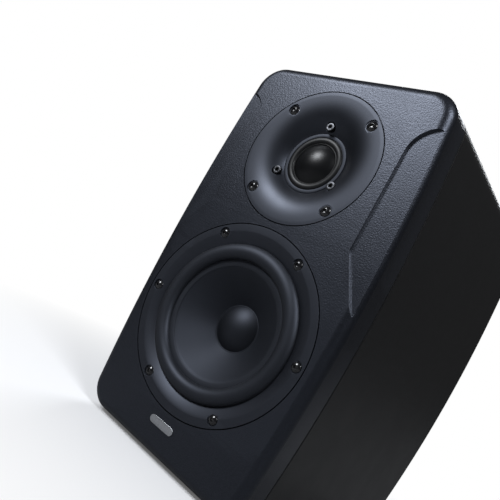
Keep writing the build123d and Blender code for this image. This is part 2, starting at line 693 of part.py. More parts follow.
def woofer_voice_coil():
    y_from = FORMER_BACK - WINDING_LENGTH
    return tube(WINDING_OUTER, FORMER_OUTER, 0, WOOFER_Z, y_from, FORMER_BACK)


def woofer_spider():
    """Corrugated fabric disc that centres the coil."""
    steps = 4 * SPIDER_WAVES
    inner_flat = FORMER_OUTER + SPIDER_FLAT
    outer_flat = SPIDER_SEAT_INNER
    front = []
    for step in range(steps + 1):
        share = step / steps
        wave = SPIDER_WAVE * math.sin(share * SPIDER_WAVES * 2 * math.pi)
        front.append((inner_flat + share * (outer_flat - inner_flat), SPIDER_FRONT - wave))
    front = [(FORMER_OUTER, SPIDER_FRONT)] + front + [(SPIDER_OUTER, SPIDER_FRONT)]
    back = [(radius, y + SPIDER_THICKNESS) for radius, y in reversed(front)]
    return turned(front + back, WOOFER_Z)


def woofer_top_plate():
    bore = WINDING_OUTER + GAP_CLEARANCE
    return tube(TOP_PLATE_RADIUS, bore, 0, WOOFER_Z, MOTOR_DEPTH, MAGNET_FRONT)


def woofer_magnet():
    return tube(MAGNET_RADIUS, MAGNET_BORE, 0, WOOFER_Z, MAGNET_FRONT, MAGNET_BACK)


def woofer_yoke():
    """Back plate with the pole that stands inside the coil."""
    pole = COIL_BORE - POLE_CLEARANCE
    back = MAGNET_BACK + BACK_PLATE_THICKNESS
    chamfered = BACK_PLATE_RADIUS - BACK_PLATE_CHAMFER
    return turned([
        (VENT_RADIUS, MOTOR_DEPTH), (pole, MOTOR_DEPTH), (pole, MAGNET_BACK),
        (BACK_PLATE_RADIUS, MAGNET_BACK), (BACK_PLATE_RADIUS, back - BACK_PLATE_CHAMFER),
        (chamfered, back), (VENT_RADIUS, back),
    ], WOOFER_Z)


def woofer_terminals():
    """Terminal board that lies on the spider seat, with two blades."""
    x_from = SPIDER_OUTER + FLUSH_GAP
    y_from = SPIDER_SEAT_DEPTH - TERMINAL_THICKNESS
    x = x_from + TERMINAL_LENGTH / 2
    pieces = [plate(TERMINAL_LENGTH, TERMINAL_WIDTH, x, WOOFER_Z, y_from, SPIDER_SEAT_DEPTH)]
    blade_x = x_from + TERMINAL_LENGTH + BLADE_LENGTH / 2
    blade_from = y_from + (TERMINAL_THICKNESS - BLADE_THICKNESS) / 2
    for side in (-1, 1):
        z = WOOFER_Z + side * TERMINAL_WIDTH / 4
        blade_to = blade_from + BLADE_THICKNESS
        pieces.append(plate(BLADE_LENGTH, BLADE_WIDTH, blade_x, z, blade_from, blade_to))
    return pieces


def woofer_screws():
    screws = []
    length = BAFFLE_FACE - SCREW_TIP_MARGIN - SCREW_SPOT_DEPTH
    for x, z in woofer_screw_places():
        screw = dome_screw(WOOFER_HEAD_RADIUS, WOOFER_SHANK_RADIUS, length)
        screws.append(Pos(x, SCREW_SPOT_DEPTH, z) * screw)
    return all_of(screws)


# ---------------------------------------------------------------- tweeter

def tweeter_screw_places():
    return [(x, TWEETER_Z + z) for x, z in ring_places(TWEETER_SCREW_COUNT, TWEETER_SCREW_CIRCLE, 45)]


def motor_screw_places():
    return [(x, TWEETER_Z + z) for x, z in ring_places(MOTOR_SCREW_COUNT, MOTOR_SCREW_CIRCLE, 0)]


def tweeter_waveguide():
    """Round waveguide: flat rim, shallow dish and a steep throat round the dome."""
    middle = (WAVEGUIDE_FLAT_INNER + WAVEGUIDE_SHOULDER_RADIUS) / 2
    dish = ThreePointArc(
        (WAVEGUIDE_FLAT_INNER, 0), (middle, WAVEGUIDE_DISH_DEPTH),
        (WAVEGUIDE_SHOULDER_RADIUS, WAVEGUIDE_SHOULDER_DEPTH),
    )
    rest = Polyline(
        (WAVEGUIDE_SHOULDER_RADIUS, WAVEGUIDE_SHOULDER_DEPTH), (THROAT_RADIUS, WAVEGUIDE_DEPTH),
        (THROAT_RADIUS, WAVEGUIDE_BACK), (TWEETER_MOTOR_RADIUS, WAVEGUIDE_BACK),
        (TWEETER_MOTOR_RADIUS, WAVEGUIDE_EDGE), (WAVEGUIDE_RADIUS, WAVEGUIDE_EDGE),
        (WAVEGUIDE_RADIUS, RIM_CHAMFER), (WAVEGUIDE_RADIUS - RIM_CHAMFER, 0), (WAVEGUIDE_FLAT_INNER, 0),
    )
    profile = make_face([dish] + list(rest.edges()))
    guide = Pos(0, 0, TWEETER_Z) * revolve(profile, Axis.Y)
    for x, z in tweeter_screw_places():
        guide -= disc(TWEETER_HEAD_RADIUS + SLIDING_CLEARANCE, x, z, -1, SCREW_SPOT_DEPTH)
        guide -= disc(TWEETER_SHANK_RADIUS + HOLE_CLEARANCE, x, z, 0, WAVEGUIDE_EDGE)
    pocket_floor = MOTOR_HEAD_FRONT + MOTOR_HEAD_HEIGHT
    for x, z in motor_screw_places():
        guide -= disc(MOTOR_POCKET_RADIUS, x, z, 0, pocket_floor)
        guide -= disc(MOTOR_SHANK_RADIUS + HOLE_CLEARANCE, x, z, 0, WAVEGUIDE_BACK)
    return guide


def tweeter_mount_ring():
    """Ring that carries the diaphragm between waveguide and motor."""
    ring = tube(TWEETER_MOTOR_RADIUS, MOUNT_RING_BORE, 0, TWEETER_Z, WAVEGUIDE_BACK, RING_BACK)
    for x, z in motor_screw_places():
        ring -= disc(MOTOR_SHANK_RADIUS + HOLE_CLEARANCE, x, z, WAVEGUIDE_BACK, RING_BACK)
    return ring


def tweeter_surround():
    profile = rolled_ring(
        TWEETER_LAND_OUTER, TWEETER_ROLL_OUTER, DOME_RADIUS, DOME_RADIUS - DOME_LAND / 2,
        WAVEGUIDE_DEPTH, TWEETER_FOIL, TWEETER_ROLL_HEIGHT,
    )
    return Pos(0, 0, TWEETER_Z) * revolve(profile, Axis.Y)


def tweeter_dome():
    """Thin dome with a flat rim under the surround."""
    radius = DOME_RADIUS - DOME_LAND / 2
    cap = dished_cap(radius, WAVEGUIDE_BACK + TWEETER_FOIL, DOME_HEIGHT, TWEETER_FOIL, TWEETER_Z)
    land = tube(DOME_RADIUS, TWEETER_COIL_BORE, 0, TWEETER_Z, WAVEGUIDE_BACK, WAVEGUIDE_BACK + TWEETER_FOIL)
    return cap + land


def tweeter_voice_coil():
    """Short former with its winding in the magnet gap."""
    y_from = WAVEGUIDE_BACK + TWEETER_FOIL
    y_to = y_from + TWEETER_FORMER_LENGTH
    middle = (RING_BACK + TWEETER_PLATE_BACK) / 2
    former = tube(TWEETER_FORMER_OUTER, TWEETER_COIL_BORE, 0, TWEETER_Z, y_from, y_to)
    half = TWEETER_WINDING_LENGTH / 2
    return former + tube(
        TWEETER_WINDING_OUTER, TWEETER_COIL_BORE, 0, TWEETER_Z, middle - half, middle + half
    )


def tweeter_top_plate():
    bore = TWEETER_WINDING_OUTER + TWEETER_GAP_CLEARANCE
    disc_ring = tube(TWEETER_MOTOR_RADIUS, bore, 0, TWEETER_Z, RING_BACK, TWEETER_PLATE_BACK)
    for x, z in motor_screw_places():
        disc_ring -= disc(MOTOR_SHANK_RADIUS + HOLE_CLEARANCE, x, z, RING_BACK, TWEETER_PLATE_BACK)
    return disc_ring


def tweeter_magnet():
    return tube(
        TWEETER_MOTOR_RADIUS, TWEETER_MAGNET_BORE, 0, TWEETER_Z, TWEETER_PLATE_BACK, TWEETER_MAGNET_BACK
    )


def tweeter_yoke():
    pole = TWEETER_COIL_BORE - TWEETER_GAP_CLEARANCE
    body = disc(TWEETER_MOTOR_RADIUS, 0, TWEETER_Z, TWEETER_MAGNET_BACK, TWEETER_BACK)
    body += disc(pole, 0, TWEETER_Z, RING_BACK, TWEETER_MAGNET_BACK)
    return body - disc(VENT_RADIUS, 0, TWEETER_Z, RING_BACK, TWEETER_BACK)


def tweeter_rear_cup():
    """Damped chamber behind the tweeter motor."""
    cup = disc(REAR_CUP_RADIUS, 0, TWEETER_Z, TWEETER_BACK, TWEETER_BACK + REAR_CUP_DEPTH)
    inside = REAR_CUP_RADIUS - REAR_CUP_WALL
    cup -= disc(inside, 0, TWEETER_Z, TWEETER_BACK, TWEETER_BACK + REAR_CUP_DEPTH - REAR_CUP_WALL)
    return cup


def tweeter_terminals():
    """Small board with two blades on the back of the chamber."""
    y_from = TWEETER_BACK + REAR_CUP_DEPTH
    y_to = y_from + TERMINAL_THICKNESS
    pieces = [plate(CUP_BOARD_WIDTH, CUP_BOARD_HEIGHT, 0, TWEETER_Z, y_from, y_to)]
    for side in (-1, 1):
        x = side * CUP_BLADE_X
        pieces.append(plate(BLADE_THICKNESS, BLADE_WIDTH, x, TWEETER_Z, y_to, y_to + BLADE_LENGTH))
    return pieces


def driver_terminals():
    return all_of(woofer_terminals() + tweeter_terminals())


def tweeter_screws():
    screws = []
    length = BAFFLE_FACE - SCREW_TIP_MARGIN - SCREW_SPOT_DEPTH
    for x, z in tweeter_screw_places():
        screw = dome_screw(TWEETER_HEAD_RADIUS, TWEETER_SHANK_RADIUS, length)
        screws.append(Pos(x, SCREW_SPOT_DEPTH, z) * screw)
    return all_of(screws)


def tweeter_motor_screws():
    """Socket-head screws that clamp waveguide, ring and motor together."""
    screws = []
    floor = MOTOR_HEAD_FRONT + MOTOR_HEAD_HEIGHT
    for x, z in motor_screw_places():
        head = disc(MOTOR_HEAD_RADIUS, x, z, MOTOR_HEAD_FRONT, floor)
        socket = Pos(x, z) * RegularPolygon(MOTOR_SOCKET_RADIUS, 6)
        head -= slab(socket, MOTOR_HEAD_FRONT, MOTOR_HEAD_FRONT + MOTOR_SOCKET_DEPTH)
        screws.append(head + disc(MOTOR_SHANK_RADIUS, x, z, floor, TWEETER_PLATE_BACK))
    return all_of(screws)


# ---------------------------------------------------------------- amplifier

def plate_screw_places():
    half_width = PLATE_WIDTH / 2 - PLATE_SCREW_INSET
    half_height = PLATE_HEIGHT / 2 - PLATE_SCREW_INSET
    rows = [half_height * (2 * row / (PLATE_SCREW_ROWS - 1) - 1) for row in range(PLATE_SCREW_ROWS)]
    sides = [(side * half_width, PLATE_Z + row) for side in (-1, 1) for row in rows]
    return sides + [(0, PLATE_Z - half_height), (0, PLATE_Z + half_height)]


def amp_panel():
    """Rear plate that carries every control and socket."""
    panel = plate(PLATE_WIDTH, PLATE_HEIGHT, 0, PLATE_Z, PLATE_INSIDE, PLATE_OUTSIDE, PLATE_CORNER)
    for x, z in plate_screw_places():
        panel -= disc(PLATE_SHANK_RADIUS + HOLE_CLEARANCE, x, z, PLATE_INSIDE, PLATE_OUTSIDE)
    shaft_hole = SHAFT_RADIUS + SLIDING_CLEARANCE
    for x, z in knob_places():
        panel -= disc(shaft_hole, x, z, PLATE_INSIDE, PLATE_OUTSIDE)
    xlr_hole = XLR_BARREL_RADIUS + HOLE_CLEARANCE
    panel -= disc(xlr_hole, CONTROL_X, XLR_Z, PLATE_INSIDE, PLATE_OUTSIDE)
    panel -= disc(TRS_BARREL + HOLE_CLEARANCE, LEFT_CONTROL_X, LINE_Z, PLATE_INSIDE, PLATE_OUTSIDE)
    panel -= disc(RCA_SHELL + HOLE_CLEARANCE, RIGHT_CONTROL_X, LINE_Z, PLATE_INSIDE, PLATE_OUTSIDE)
    width = SWITCH_WIDTH - BEZEL
    height = SWITCH_HEIGHT - BEZEL
    panel -= plate(width, height, CONTROL_X, SWITCH_Z, PLATE_INSIDE, PLATE_OUTSIDE)
    width = INLET_WIDTH - BEZEL
    height = INLET_HEIGHT - BEZEL
    panel -= plate(width, height, CONTROL_X, INLET_Z, PLATE_INSIDE, PLATE_OUTSIDE)
    return panel


def knob_places():
    return [(CONTROL_X, VOLUME_Z), (LEFT_CONTROL_X, TRIM_Z), (RIGHT_CONTROL_X, TRIM_Z)]


def amp_panel_screws():
    screws = []
    for x, z in plate_screw_places():
        screw = dome_screw(PLATE_HEAD_RADIUS, PLATE_SHANK_RADIUS, PANEL_THICKNESS)
        screws.append(Pos(x, PLATE_OUTSIDE, z) * Rot(0, 0, 180) * screw)
    return all_of(screws)


def heat_sink():
    """Ribbed cooler on the outside of the plate."""
    base = PLATE_OUTSIDE + HEAT_SINK_BASE
    sink = plate(HEAT_SINK_WIDTH, HEAT_SINK_HEIGHT, HEAT_SINK_X, PLATE_Z, PLATE_OUTSIDE, base)
    pitch = (HEAT_SINK_WIDTH - FIN_THICKNESS) / (FIN_COUNT - 1)
    first = HEAT_SINK_X - HEAT_SINK_WIDTH / 2 + FIN_THICKNESS / 2
    for index in range(FIN_COUNT):
        x = first + index * pitch
        sink += plate(FIN_THICKNESS, HEAT_SINK_HEIGHT, x, PLATE_Z, base, HEAT_SINK_BACK)
    return sink


def amp_circuit_board():
    board = plate(BOARD_WIDTH, BOARD_HEIGHT, 0, PLATE_Z, BOARD_FRONT, BOARD_BACK, BOARD_CORNER)
    for x, z in standoff_places():
        board -= disc(STANDOFF_BORE, x, z, BOARD_FRONT, BOARD_BACK)
    return board


def standoff_places():
    x = BOARD_WIDTH / 2 - STANDOFF_INSET
    z = BOARD_HEIGHT / 2 - STANDOFF_INSET
    return [(side * x, PLATE_Z + end * z) for side in (-1, 1) for end in (-1, 1)]


def board_standoffs():
    posts = [disc(STANDOFF_RADIUS, x, z, BOARD_BACK, PLATE_INSIDE) for x, z in standoff_places()]
    return all_of(posts)


def filter_capacitors():
    """Four can capacitors on the board."""
    cans = []
    y_from = BOARD_FRONT - CAPACITOR_LENGTH
    for column, row in ((0, 1), (1, 1), (0, 2), (1, 2)):
        x = HEAT_SINK_X + column * CAPACITOR_PITCH
        z = PLATE_Z - row * CAPACITOR_PITCH
        can = disc(CAPACITOR_RADIUS, x, z, y_from, BOARD_FRONT)
        cans.append(fillet(can.edges().sort_by(Axis.Y)[0], CAPACITOR_EDGE))
    return all_of(cans)


def output_chips():
    """Power chips pressed on the plate behind the cooler, with legs to the board."""
    pieces = []
    y_from = PLATE_INSIDE - CHIP_THICKNESS
    for row in (-1, 0, 1):
        z = PLATE_Z + row * CHIP_PITCH
        pieces.append(plate(CHIP_SIZE, CHIP_SIZE, HEAT_SINK_X, z, y_from, PLATE_INSIDE))
        for leg in range(CHIP_LEGS):
            x = HEAT_SINK_X + (leg - (CHIP_LEGS - 1) / 2) * CHIP_LEG_PITCH
            pieces.append(disc(CHIP_LEG_RADIUS, x, z, BOARD_BACK, y_from))
    return all_of(pieces)


def power_transformer():
    """Ring transformer that lies on the bottom panel."""
    ring = Cylinder(TRANSFORMER_RADIUS, TRANSFORMER_HEIGHT)
    ring = fillet(ring.edges(), TRANSFORMER_EDGE)
    ring -= Cylinder(TRANSFORMER_BORE, TRANSFORMER_HEIGHT)
    return Pos(0, TRANSFORMER_DEPTH_PLACE, INSIDE_BOTTOM + TRANSFORMER_HEIGHT / 2) * ring


def knob(x, z, radius, length, y_pot):
    """A ribbed knob in one piece with the shaft that runs into its control."""
    y_from = PLATE_OUTSIDE + KNOB_GAP
    y_to = y_from + length
    body = disc(radius, x, z, y_from, y_to)
    body = fillet(body.edges().sort_by(Axis.Y)[-1], radius * KNOB_EDGE_SHARE)
    skirt = y_from + length * KNOB_SKIRT_SHARE
    for rib_x, rib_z in ring_places(KNOB_RIBS, radius * KNOB_RIB_CIRCLE_SHARE, 0):
        body -= disc(radius * KNOB_RIB_SHARE, x + rib_x, z + rib_z, skirt, y_to)
    line_width = radius * KNOB_LINE_WIDTH_SHARE
    line_length = radius * KNOB_LINE_LENGTH_SHARE
    line_z = z + radius * KNOB_LINE_PLACE_SHARE
    body -= plate(line_width, line_length, x, line_z, y_to - KNOB_LINE_DEPTH, y_to)
    return body + disc(SHAFT_RADIUS, x, z, y_pot, y_from)


def pot(x, z, size, depth):
    """Control body behind the plate, with a running bore for the shaft."""
    body = plate(size, size, x, z, PLATE_INSIDE - depth, PLATE_INSIDE, POT_CORNER)
    return body - disc(SHAFT_RADIUS + RUNNING_CLEARANCE, x, z, shaft_end(depth), PLATE_INSIDE)


def shaft_end(depth):
    return PLATE_INSIDE - depth * POT_BORE_SHARE


def volume_pot():
    return pot(CONTROL_X, VOLUME_Z, POT_SIZE, POT_DEPTH)


def trim_pots():
    places = (LEFT_CONTROL_X, RIGHT_CONTROL_X)
    return all_of([pot(x, TRIM_Z, TRIM_POT_SIZE, POT_DEPTH) for x in places])


def volume_knob():
    y_end = shaft_end(POT_DEPTH) + SEAT_CLEARANCE
    return knob(CONTROL_X, VOLUME_Z, VOLUME_KNOB_RADIUS, VOLUME_KNOB_LENGTH, y_end)


def trim_knob(x):
    y_end = shaft_end(POT_DEPTH) + SEAT_CLEARANCE
    return knob(x, TRIM_Z, TRIM_KNOB_RADIUS, TRIM_KNOB_LENGTH, y_end)


def xlr_jack():
    """Shell of the balanced three-pole socket, with a square bezel."""
    y_out = PLATE_OUTSIDE + BEZEL
    body = plate(XLR_WIDTH, XLR_HEIGHT, CONTROL_X, XLR_Z, PLATE_OUTSIDE, y_out, SOCKET_CORNER)
    body += disc(XLR_BARREL_RADIUS, CONTROL_X, XLR_Z, y_out - XLR_DEPTH, y_out)
    return body - disc(XLR_RING_OUTER, CONTROL_X, XLR_Z, y_out - XLR_RING_DEPTH, y_out)


def xlr_contact_block():
    """Round block that stands in the shell, with a hole for each of the plug's pins."""
    y_out = PLATE_OUTSIDE + BEZEL
    y_floor = y_out - XLR_RING_DEPTH
    block = disc(XLR_RING_INNER, CONTROL_X, XLR_Z, y_floor, y_out)
    for x, z in ring_places(3, XLR_PIN_CIRCLE, XLR_FIRST_PIN):
        block -= disc(XLR_PIN_RADIUS, CONTROL_X + x, XLR_Z + z, y_floor, y_out)
    return block


def trs_jack():
    """Phone socket held by a hexagon nut."""
    y_out = PLATE_OUTSIDE + BEZEL
    body = disc(TRS_BARREL, LEFT_CONTROL_X, LINE_Z, PLATE_INSIDE, y_out)
    body += slab(Pos(LEFT_CONTROL_X, LINE_Z) * RegularPolygon(TRS_NUT, 6), PLATE_OUTSIDE, y_out)
    case = 2 * TRS_NUT
    body += plate(case, case, LEFT_CONTROL_X, LINE_Z, PLATE_INSIDE - TRS_DEPTH, PLATE_INSIDE)
    bore_end = PLATE_INSIDE - TRS_DEPTH + TRS_END_WALL
    return body - disc(TRS_BORE, LEFT_CONTROL_X, LINE_Z, bore_end, y_out)


def rca_jack():
    """Phono socket: outer shell, insulated core and centre hole."""
    y_out = PLATE_OUTSIDE + RCA_LENGTH
    x = RIGHT_CONTROL_X
    body = disc(RCA_SHELL, x, LINE_Z, PLATE_INSIDE - BEZEL, y_out)
    body += disc(RCA_BASE, x, LINE_Z, PLATE_OUTSIDE, PLATE_OUTSIDE + BEZEL)
    groove = RCA_SHELL - RCA_SHELL_WALL
    floor = PLATE_OUTSIDE + RCA_GROOVE_FLOOR
    body -= tube(groove, groove - RCA_GROOVE, x, LINE_Z, floor, y_out)
    return body - disc(RCA_PIN_BORE, x, LINE_Z, PLATE_OUTSIDE, y_out)


def power_switch_body():
    """Bezel and case of the rocker switch."""
    y_out = PLATE_OUTSIDE + BEZEL
    body = plate(
        SWITCH_WIDTH, SWITCH_HEIGHT, CONTROL_X, SWITCH_Z, PLATE_OUTSIDE, y_out, SWITCH_CORNER
    )
    width = SWITCH_WIDTH - BEZEL
    height = SWITCH_HEIGHT - BEZEL
    y_in = PLATE_OUTSIDE - SWITCH_DEPTH
    case_width = width - 2 * HOLE_CLEARANCE
    case_height = height - 2 * HOLE_CLEARANCE
    body += plate(case_width, case_height, CONTROL_X, SWITCH_Z, y_in, PLATE_OUTSIDE)
    well_width = ROCKER_WIDTH + 2 * ROCKER_SIDE_GAP
    well_height = ROCKER_HEIGHT + 2 * ROCKER_END_GAP
    body -= plate(well_width, well_height, CONTROL_X, SWITCH_Z, y_in + BEZEL, y_out)
    return body - rocker_pin(ROCKER_PIN_RADIUS + RUNNING_CLEARANCE, ROCKER_PIN_REACH)


def rocker_pin(radius, reach):
    """Pivot pin across the switch, reaching past the rocker's sides."""
    length = ROCKER_WIDTH + 2 * (ROCKER_SIDE_GAP + reach)
    return Pos(CONTROL_X, ROCKER_PIVOT_Y, SWITCH_Z) * Rot(0, 90, 0) * Cylinder(radius, length)


def power_rocker():
    """Rocker with two faces, tilted to its off position."""
    half = ROCKER_HEIGHT / 2
    outer = ROCKER_THICKNESS / 2
    dish = outer * ROCKER_DISH_SHARE
    corners = [(-half, outer), (0, dish), (half, outer), (half, -outer), (-half, -outer)]
    section = make_face(Polyline(*corners, close=True))
    plane = Plane.YZ.offset(-ROCKER_WIDTH / 2)
    body = extrude(plane * Rot(0, 0, -90) * section, amount=ROCKER_WIDTH)
    tilted = Pos(CONTROL_X, ROCKER_PIVOT_Y, SWITCH_Z) * Rot(ROCKER_TILT, 0, 0) * body
    return tilted + rocker_pin(ROCKER_PIN_RADIUS, ROCKER_PIN_REACH - SEAT_CLEARANCE)


def mains_inlet():
    """Appliance inlet with a fuse drawer bay under the socket."""
    y_out = PLATE_OUTSIDE + BEZEL
    y_in = y_out - INLET_DEPTH
    body = plate(
        INLET_WIDTH, INLET_HEIGHT, CONTROL_X, INLET_Z, PLATE_OUTSIDE, y_out, SOCKET_CORNER
    )
    case_width = INLET_WIDTH - BEZEL - 2 * HOLE_CLEARANCE
    case_height = INLET_HEIGHT - BEZEL - 2 * HOLE_CLEARANCE
    body += plate(case_width, case_height, CONTROL_X, INLET_Z, y_in, PLATE_OUTSIDE)
    socket = Rectangle(INLET_SOCKET_WIDTH, INLET_SOCKET_HEIGHT)
    socket = chamfer(socket.vertices().group_by(Axis.Y)[-1], INLET_SOCKET_CHAMFER)
    body -= slab(Pos(CONTROL_X, SOCKET_Z) * socket, y_out - INLET_SOCKET_DEPTH, y_out)
    bay_width = DRAWER_WIDTH + 2 * SLIDING_CLEARANCE
    bay_height = DRAWER_HEIGHT + 2 * SLIDING_CLEARANCE
    y_bay = y_out - DRAWER_LENGTH - SEAT_CLEARANCE
    return body - plate(bay_width, bay_height, CONTROL_X, DRAWER_Z, y_bay, y_out)


def mains_inlet_pins():
    """Three flat pins standing in the socket."""
    y_from = PLATE_OUTSIDE + BEZEL - INLET_SOCKET_DEPTH
    y_to = PLATE_OUTSIDE + BEZEL - INLET_PIN_BACKSET
    places = [
        (-INLET_PIN_SPREAD, -INLET_PIN_DROP), (INLET_PIN_SPREAD, -INLET_PIN_DROP), (0.0, INLET_EARTH_RISE)
    ]
    pins = [
        plate(INLET_PIN_WIDTH, INLET_PIN_HEIGHT, CONTROL_X + x, SOCKET_Z + z, y_from, y_to)
        for x, z in places
    ]
    return all_of(pins)


def fuse_drawer():
    """Sliding drawer with a finger notch and a trough for the fuse."""
    y_out = PLATE_OUTSIDE + BEZEL
    y_in = y_out - DRAWER_LENGTH
    body = plate(DRAWER_WIDTH, DRAWER_HEIGHT, CONTROL_X, DRAWER_Z, y_in, y_out)
    trough_x = FUSE_LENGTH + 2 * SLIDING_CLEARANCE
    trough_y = 2 * FUSE_RADIUS + 2 * SLIDING_CLEARANCE
    trough = Box(trough_x, trough_y, DRAWER_HEIGHT)
    body -= Pos(CONTROL_X, y_in + trough_y, DRAWER_Z + DRAWER_HEIGHT / 4) * trough
    notch_z = DRAWER_Z + DRAWER_HEIGHT / 2
    return body - plate(NOTCH_WIDTH, NOTCH_HEIGHT, CONTROL_X, notch_z, y_out - NOTCH_DEPTH, y_out)


def mains_fuse():
    """Glass fuse lying in the drawer."""
    trough_y = 2 * FUSE_RADIUS + 2 * SLIDING_CLEARANCE
    y = PLATE_OUTSIDE + BEZEL - DRAWER_LENGTH + trough_y
    z = DRAWER_Z - DRAWER_HEIGHT / 4 + FUSE_RADIUS + HOLE_CLEARANCE
    return Pos(CONTROL_X, y, z) * Rot(0, 90, 0) * Cylinder(FUSE_RADIUS, FUSE_LENGTH)


def speaker_wires():
    """Two insulated leads from the board to the drivers' terminals."""
    woofer_x = SPIDER_OUTER + TERMINAL_LENGTH
    woofer_route = [
        (woofer_x, SPIDER_SEAT_DEPTH + 0.3, WOOFER_Z + 3),
        (woofer_x - 1, BRACE_FRONT - 40, WOOFER_Z + 4),
        (woofer_x - 28, BRACE_FRONT + 4, WOOFER_Z + 10),
        (woofer_x - 36, BOARD_FRONT - 60, WOOFER_Z + 8),
        (woofer_x - 40, BOARD_FRONT - 25, WOOFER_Z + 14),
        (woofer_x - 40, BOARD_FRONT, WOOFER_Z + 14),
    ]
    cup_back = TWEETER_BACK + REAR_CUP_DEPTH + TERMINAL_THICKNESS
    tweeter_route = [
        (0, cup_back + 0.3, TWEETER_Z),
        (1, cup_back + 30, TWEETER_Z - 6),
        (4, BRACE_FRONT + 8, TWEETER_Z - 34),
        (2, BOARD_FRONT - 60, TWEETER_Z - 66),
        (6, BOARD_FRONT - 25, TWEETER_Z - 82),
        (6, BOARD_FRONT, TWEETER_Z - 82),
    ]
    wires = []
    for route in (woofer_route, tweeter_route):
        path = FilletPolyline(*route, radius=WIRE_BEND)
        start = Plane(origin=path @ 0, z_dir=path % 0)
        wires.append(sweep(start * Circle(WIRE_RADIUS), path=path))
    return all_of(wires)


# ---------------------------------------------------------------- export

def nodes():
    """Every piece by its node name, at its depth behind the front face."""
    left, right, top, bottom = cabinet_panels()
    return {
        "front_baffle": front_baffle(),
        "left_side_panel": left,
        "right_side_panel": right,
        "top_panel": top,
        "bottom_panel": bottom,
        "rear_panel": rear_panel(),
        "cabinet_gasket": cabinet_gasket(),
        "internal_brace": internal_brace(),
        "damping_foam": damping_foam(),
        "port_tube": port_tube(),
        "rubber_feet": rubber_feet(),
        "front_badge": badge_shape(0, -BADGE_PROUD, BADGE_SINK),
        "woofer_trim_ring": woofer_trim_ring(),
        "woofer_frame": woofer_frame(),
        "woofer_surround": woofer_surround(),
        "woofer_cone": woofer_cone(),
        "woofer_dust_cap": woofer_dust_cap(),
        "woofer_coil_former": woofer_coil_former(),
        "woofer_voice_coil": woofer_voice_coil(),
        "woofer_spider": woofer_spider(),
        "woofer_top_plate": woofer_top_plate(),
        "woofer_magnet": woofer_magnet(),
        "woofer_yoke": woofer_yoke(),
        "woofer_screws": woofer_screws(),
        "tweeter_waveguide": tweeter_waveguide(),
        "tweeter_mount_ring": tweeter_mount_ring(),
        "tweeter_surround": tweeter_surround(),
        "tweeter_dome": tweeter_dome(),
        "tweeter_voice_coil": tweeter_voice_coil(),
        "tweeter_top_plate": tweeter_top_plate(),
        "tweeter_magnet": tweeter_magnet(),
        "tweeter_yoke": tweeter_yoke(),
        "tweeter_rear_cup": tweeter_rear_cup(),
        "driver_terminals": driver_terminals(),
        "tweeter_screws": tweeter_screws(),
        "tweeter_motor_screws": tweeter_motor_screws(),
        "amp_panel": amp_panel(),
        "amp_panel_screws": amp_panel_screws(),
        "heat_sink": heat_sink(),
        "amp_circuit_board": amp_circuit_board(),
        "board_standoffs": board_standoffs(),
        "filter_capacitors": filter_capacitors(),
        "output_chips": output_chips(),
        "power_transformer": power_transformer(),
        "volume_pot": volume_pot(),
        "trim_pots": trim_pots(),
        "volume_knob": volume_knob(),
        "treble_trim_knob": trim_knob(LEFT_CONTROL_X),
        "bass_trim_knob": trim_knob(RIGHT_CONTROL_X),
        "xlr_jack": xlr_jack(),
        "xlr_contact_block": xlr_contact_block(),
        "phone_jack": trs_jack(),
        "phono_jack": rca_jack(),
        "power_switch_body": power_switch_body(),
        "power_rocker": power_rocker(),
        "mains_inlet": mains_inlet(),
        "mains_inlet_pins": mains_inlet_pins(),
        "fuse_drawer": fuse_drawer(),
        "mains_fuse": mains_fuse(),
        "speaker_wires": speaker_wires(),
    }


os.makedirs("parts", exist_ok=True)
for name, solid in nodes().items():
    export_step(Pos(0, ORIGIN_SHIFT, 0) * solid, f"parts/{name}.step")
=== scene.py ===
"""Looks of an active two-way bookshelf loudspeaker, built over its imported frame."""

from __future__ import annotations

import json
import logging
import math
from dataclasses import dataclass, field
from enum import Enum

import bmesh
import bpy
from mathutils import Matrix, Vector
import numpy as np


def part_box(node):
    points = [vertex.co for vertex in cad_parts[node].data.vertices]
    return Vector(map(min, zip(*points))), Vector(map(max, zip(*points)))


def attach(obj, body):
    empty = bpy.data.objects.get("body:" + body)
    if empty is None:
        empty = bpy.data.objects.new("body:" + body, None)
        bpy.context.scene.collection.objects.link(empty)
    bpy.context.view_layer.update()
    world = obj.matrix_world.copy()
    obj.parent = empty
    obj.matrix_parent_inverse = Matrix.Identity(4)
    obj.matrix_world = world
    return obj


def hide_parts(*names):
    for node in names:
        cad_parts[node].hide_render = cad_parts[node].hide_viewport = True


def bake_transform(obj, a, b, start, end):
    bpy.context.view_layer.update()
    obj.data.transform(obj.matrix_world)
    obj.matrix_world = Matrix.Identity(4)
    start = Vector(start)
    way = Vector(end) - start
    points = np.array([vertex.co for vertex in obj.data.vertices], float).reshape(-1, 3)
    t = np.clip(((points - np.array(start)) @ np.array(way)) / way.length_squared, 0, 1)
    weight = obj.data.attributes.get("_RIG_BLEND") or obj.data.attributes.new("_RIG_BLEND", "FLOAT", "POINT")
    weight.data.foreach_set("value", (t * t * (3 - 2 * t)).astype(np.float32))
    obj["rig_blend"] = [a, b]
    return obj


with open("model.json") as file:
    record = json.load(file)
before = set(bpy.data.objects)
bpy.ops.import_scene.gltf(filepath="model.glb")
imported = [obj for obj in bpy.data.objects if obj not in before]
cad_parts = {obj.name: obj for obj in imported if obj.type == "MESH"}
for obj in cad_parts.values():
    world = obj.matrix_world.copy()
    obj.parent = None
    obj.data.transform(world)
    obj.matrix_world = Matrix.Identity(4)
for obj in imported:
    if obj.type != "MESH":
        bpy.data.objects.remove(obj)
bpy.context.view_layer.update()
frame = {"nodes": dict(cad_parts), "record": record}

LOG = logging.getLogger("bookshelf_speaker")

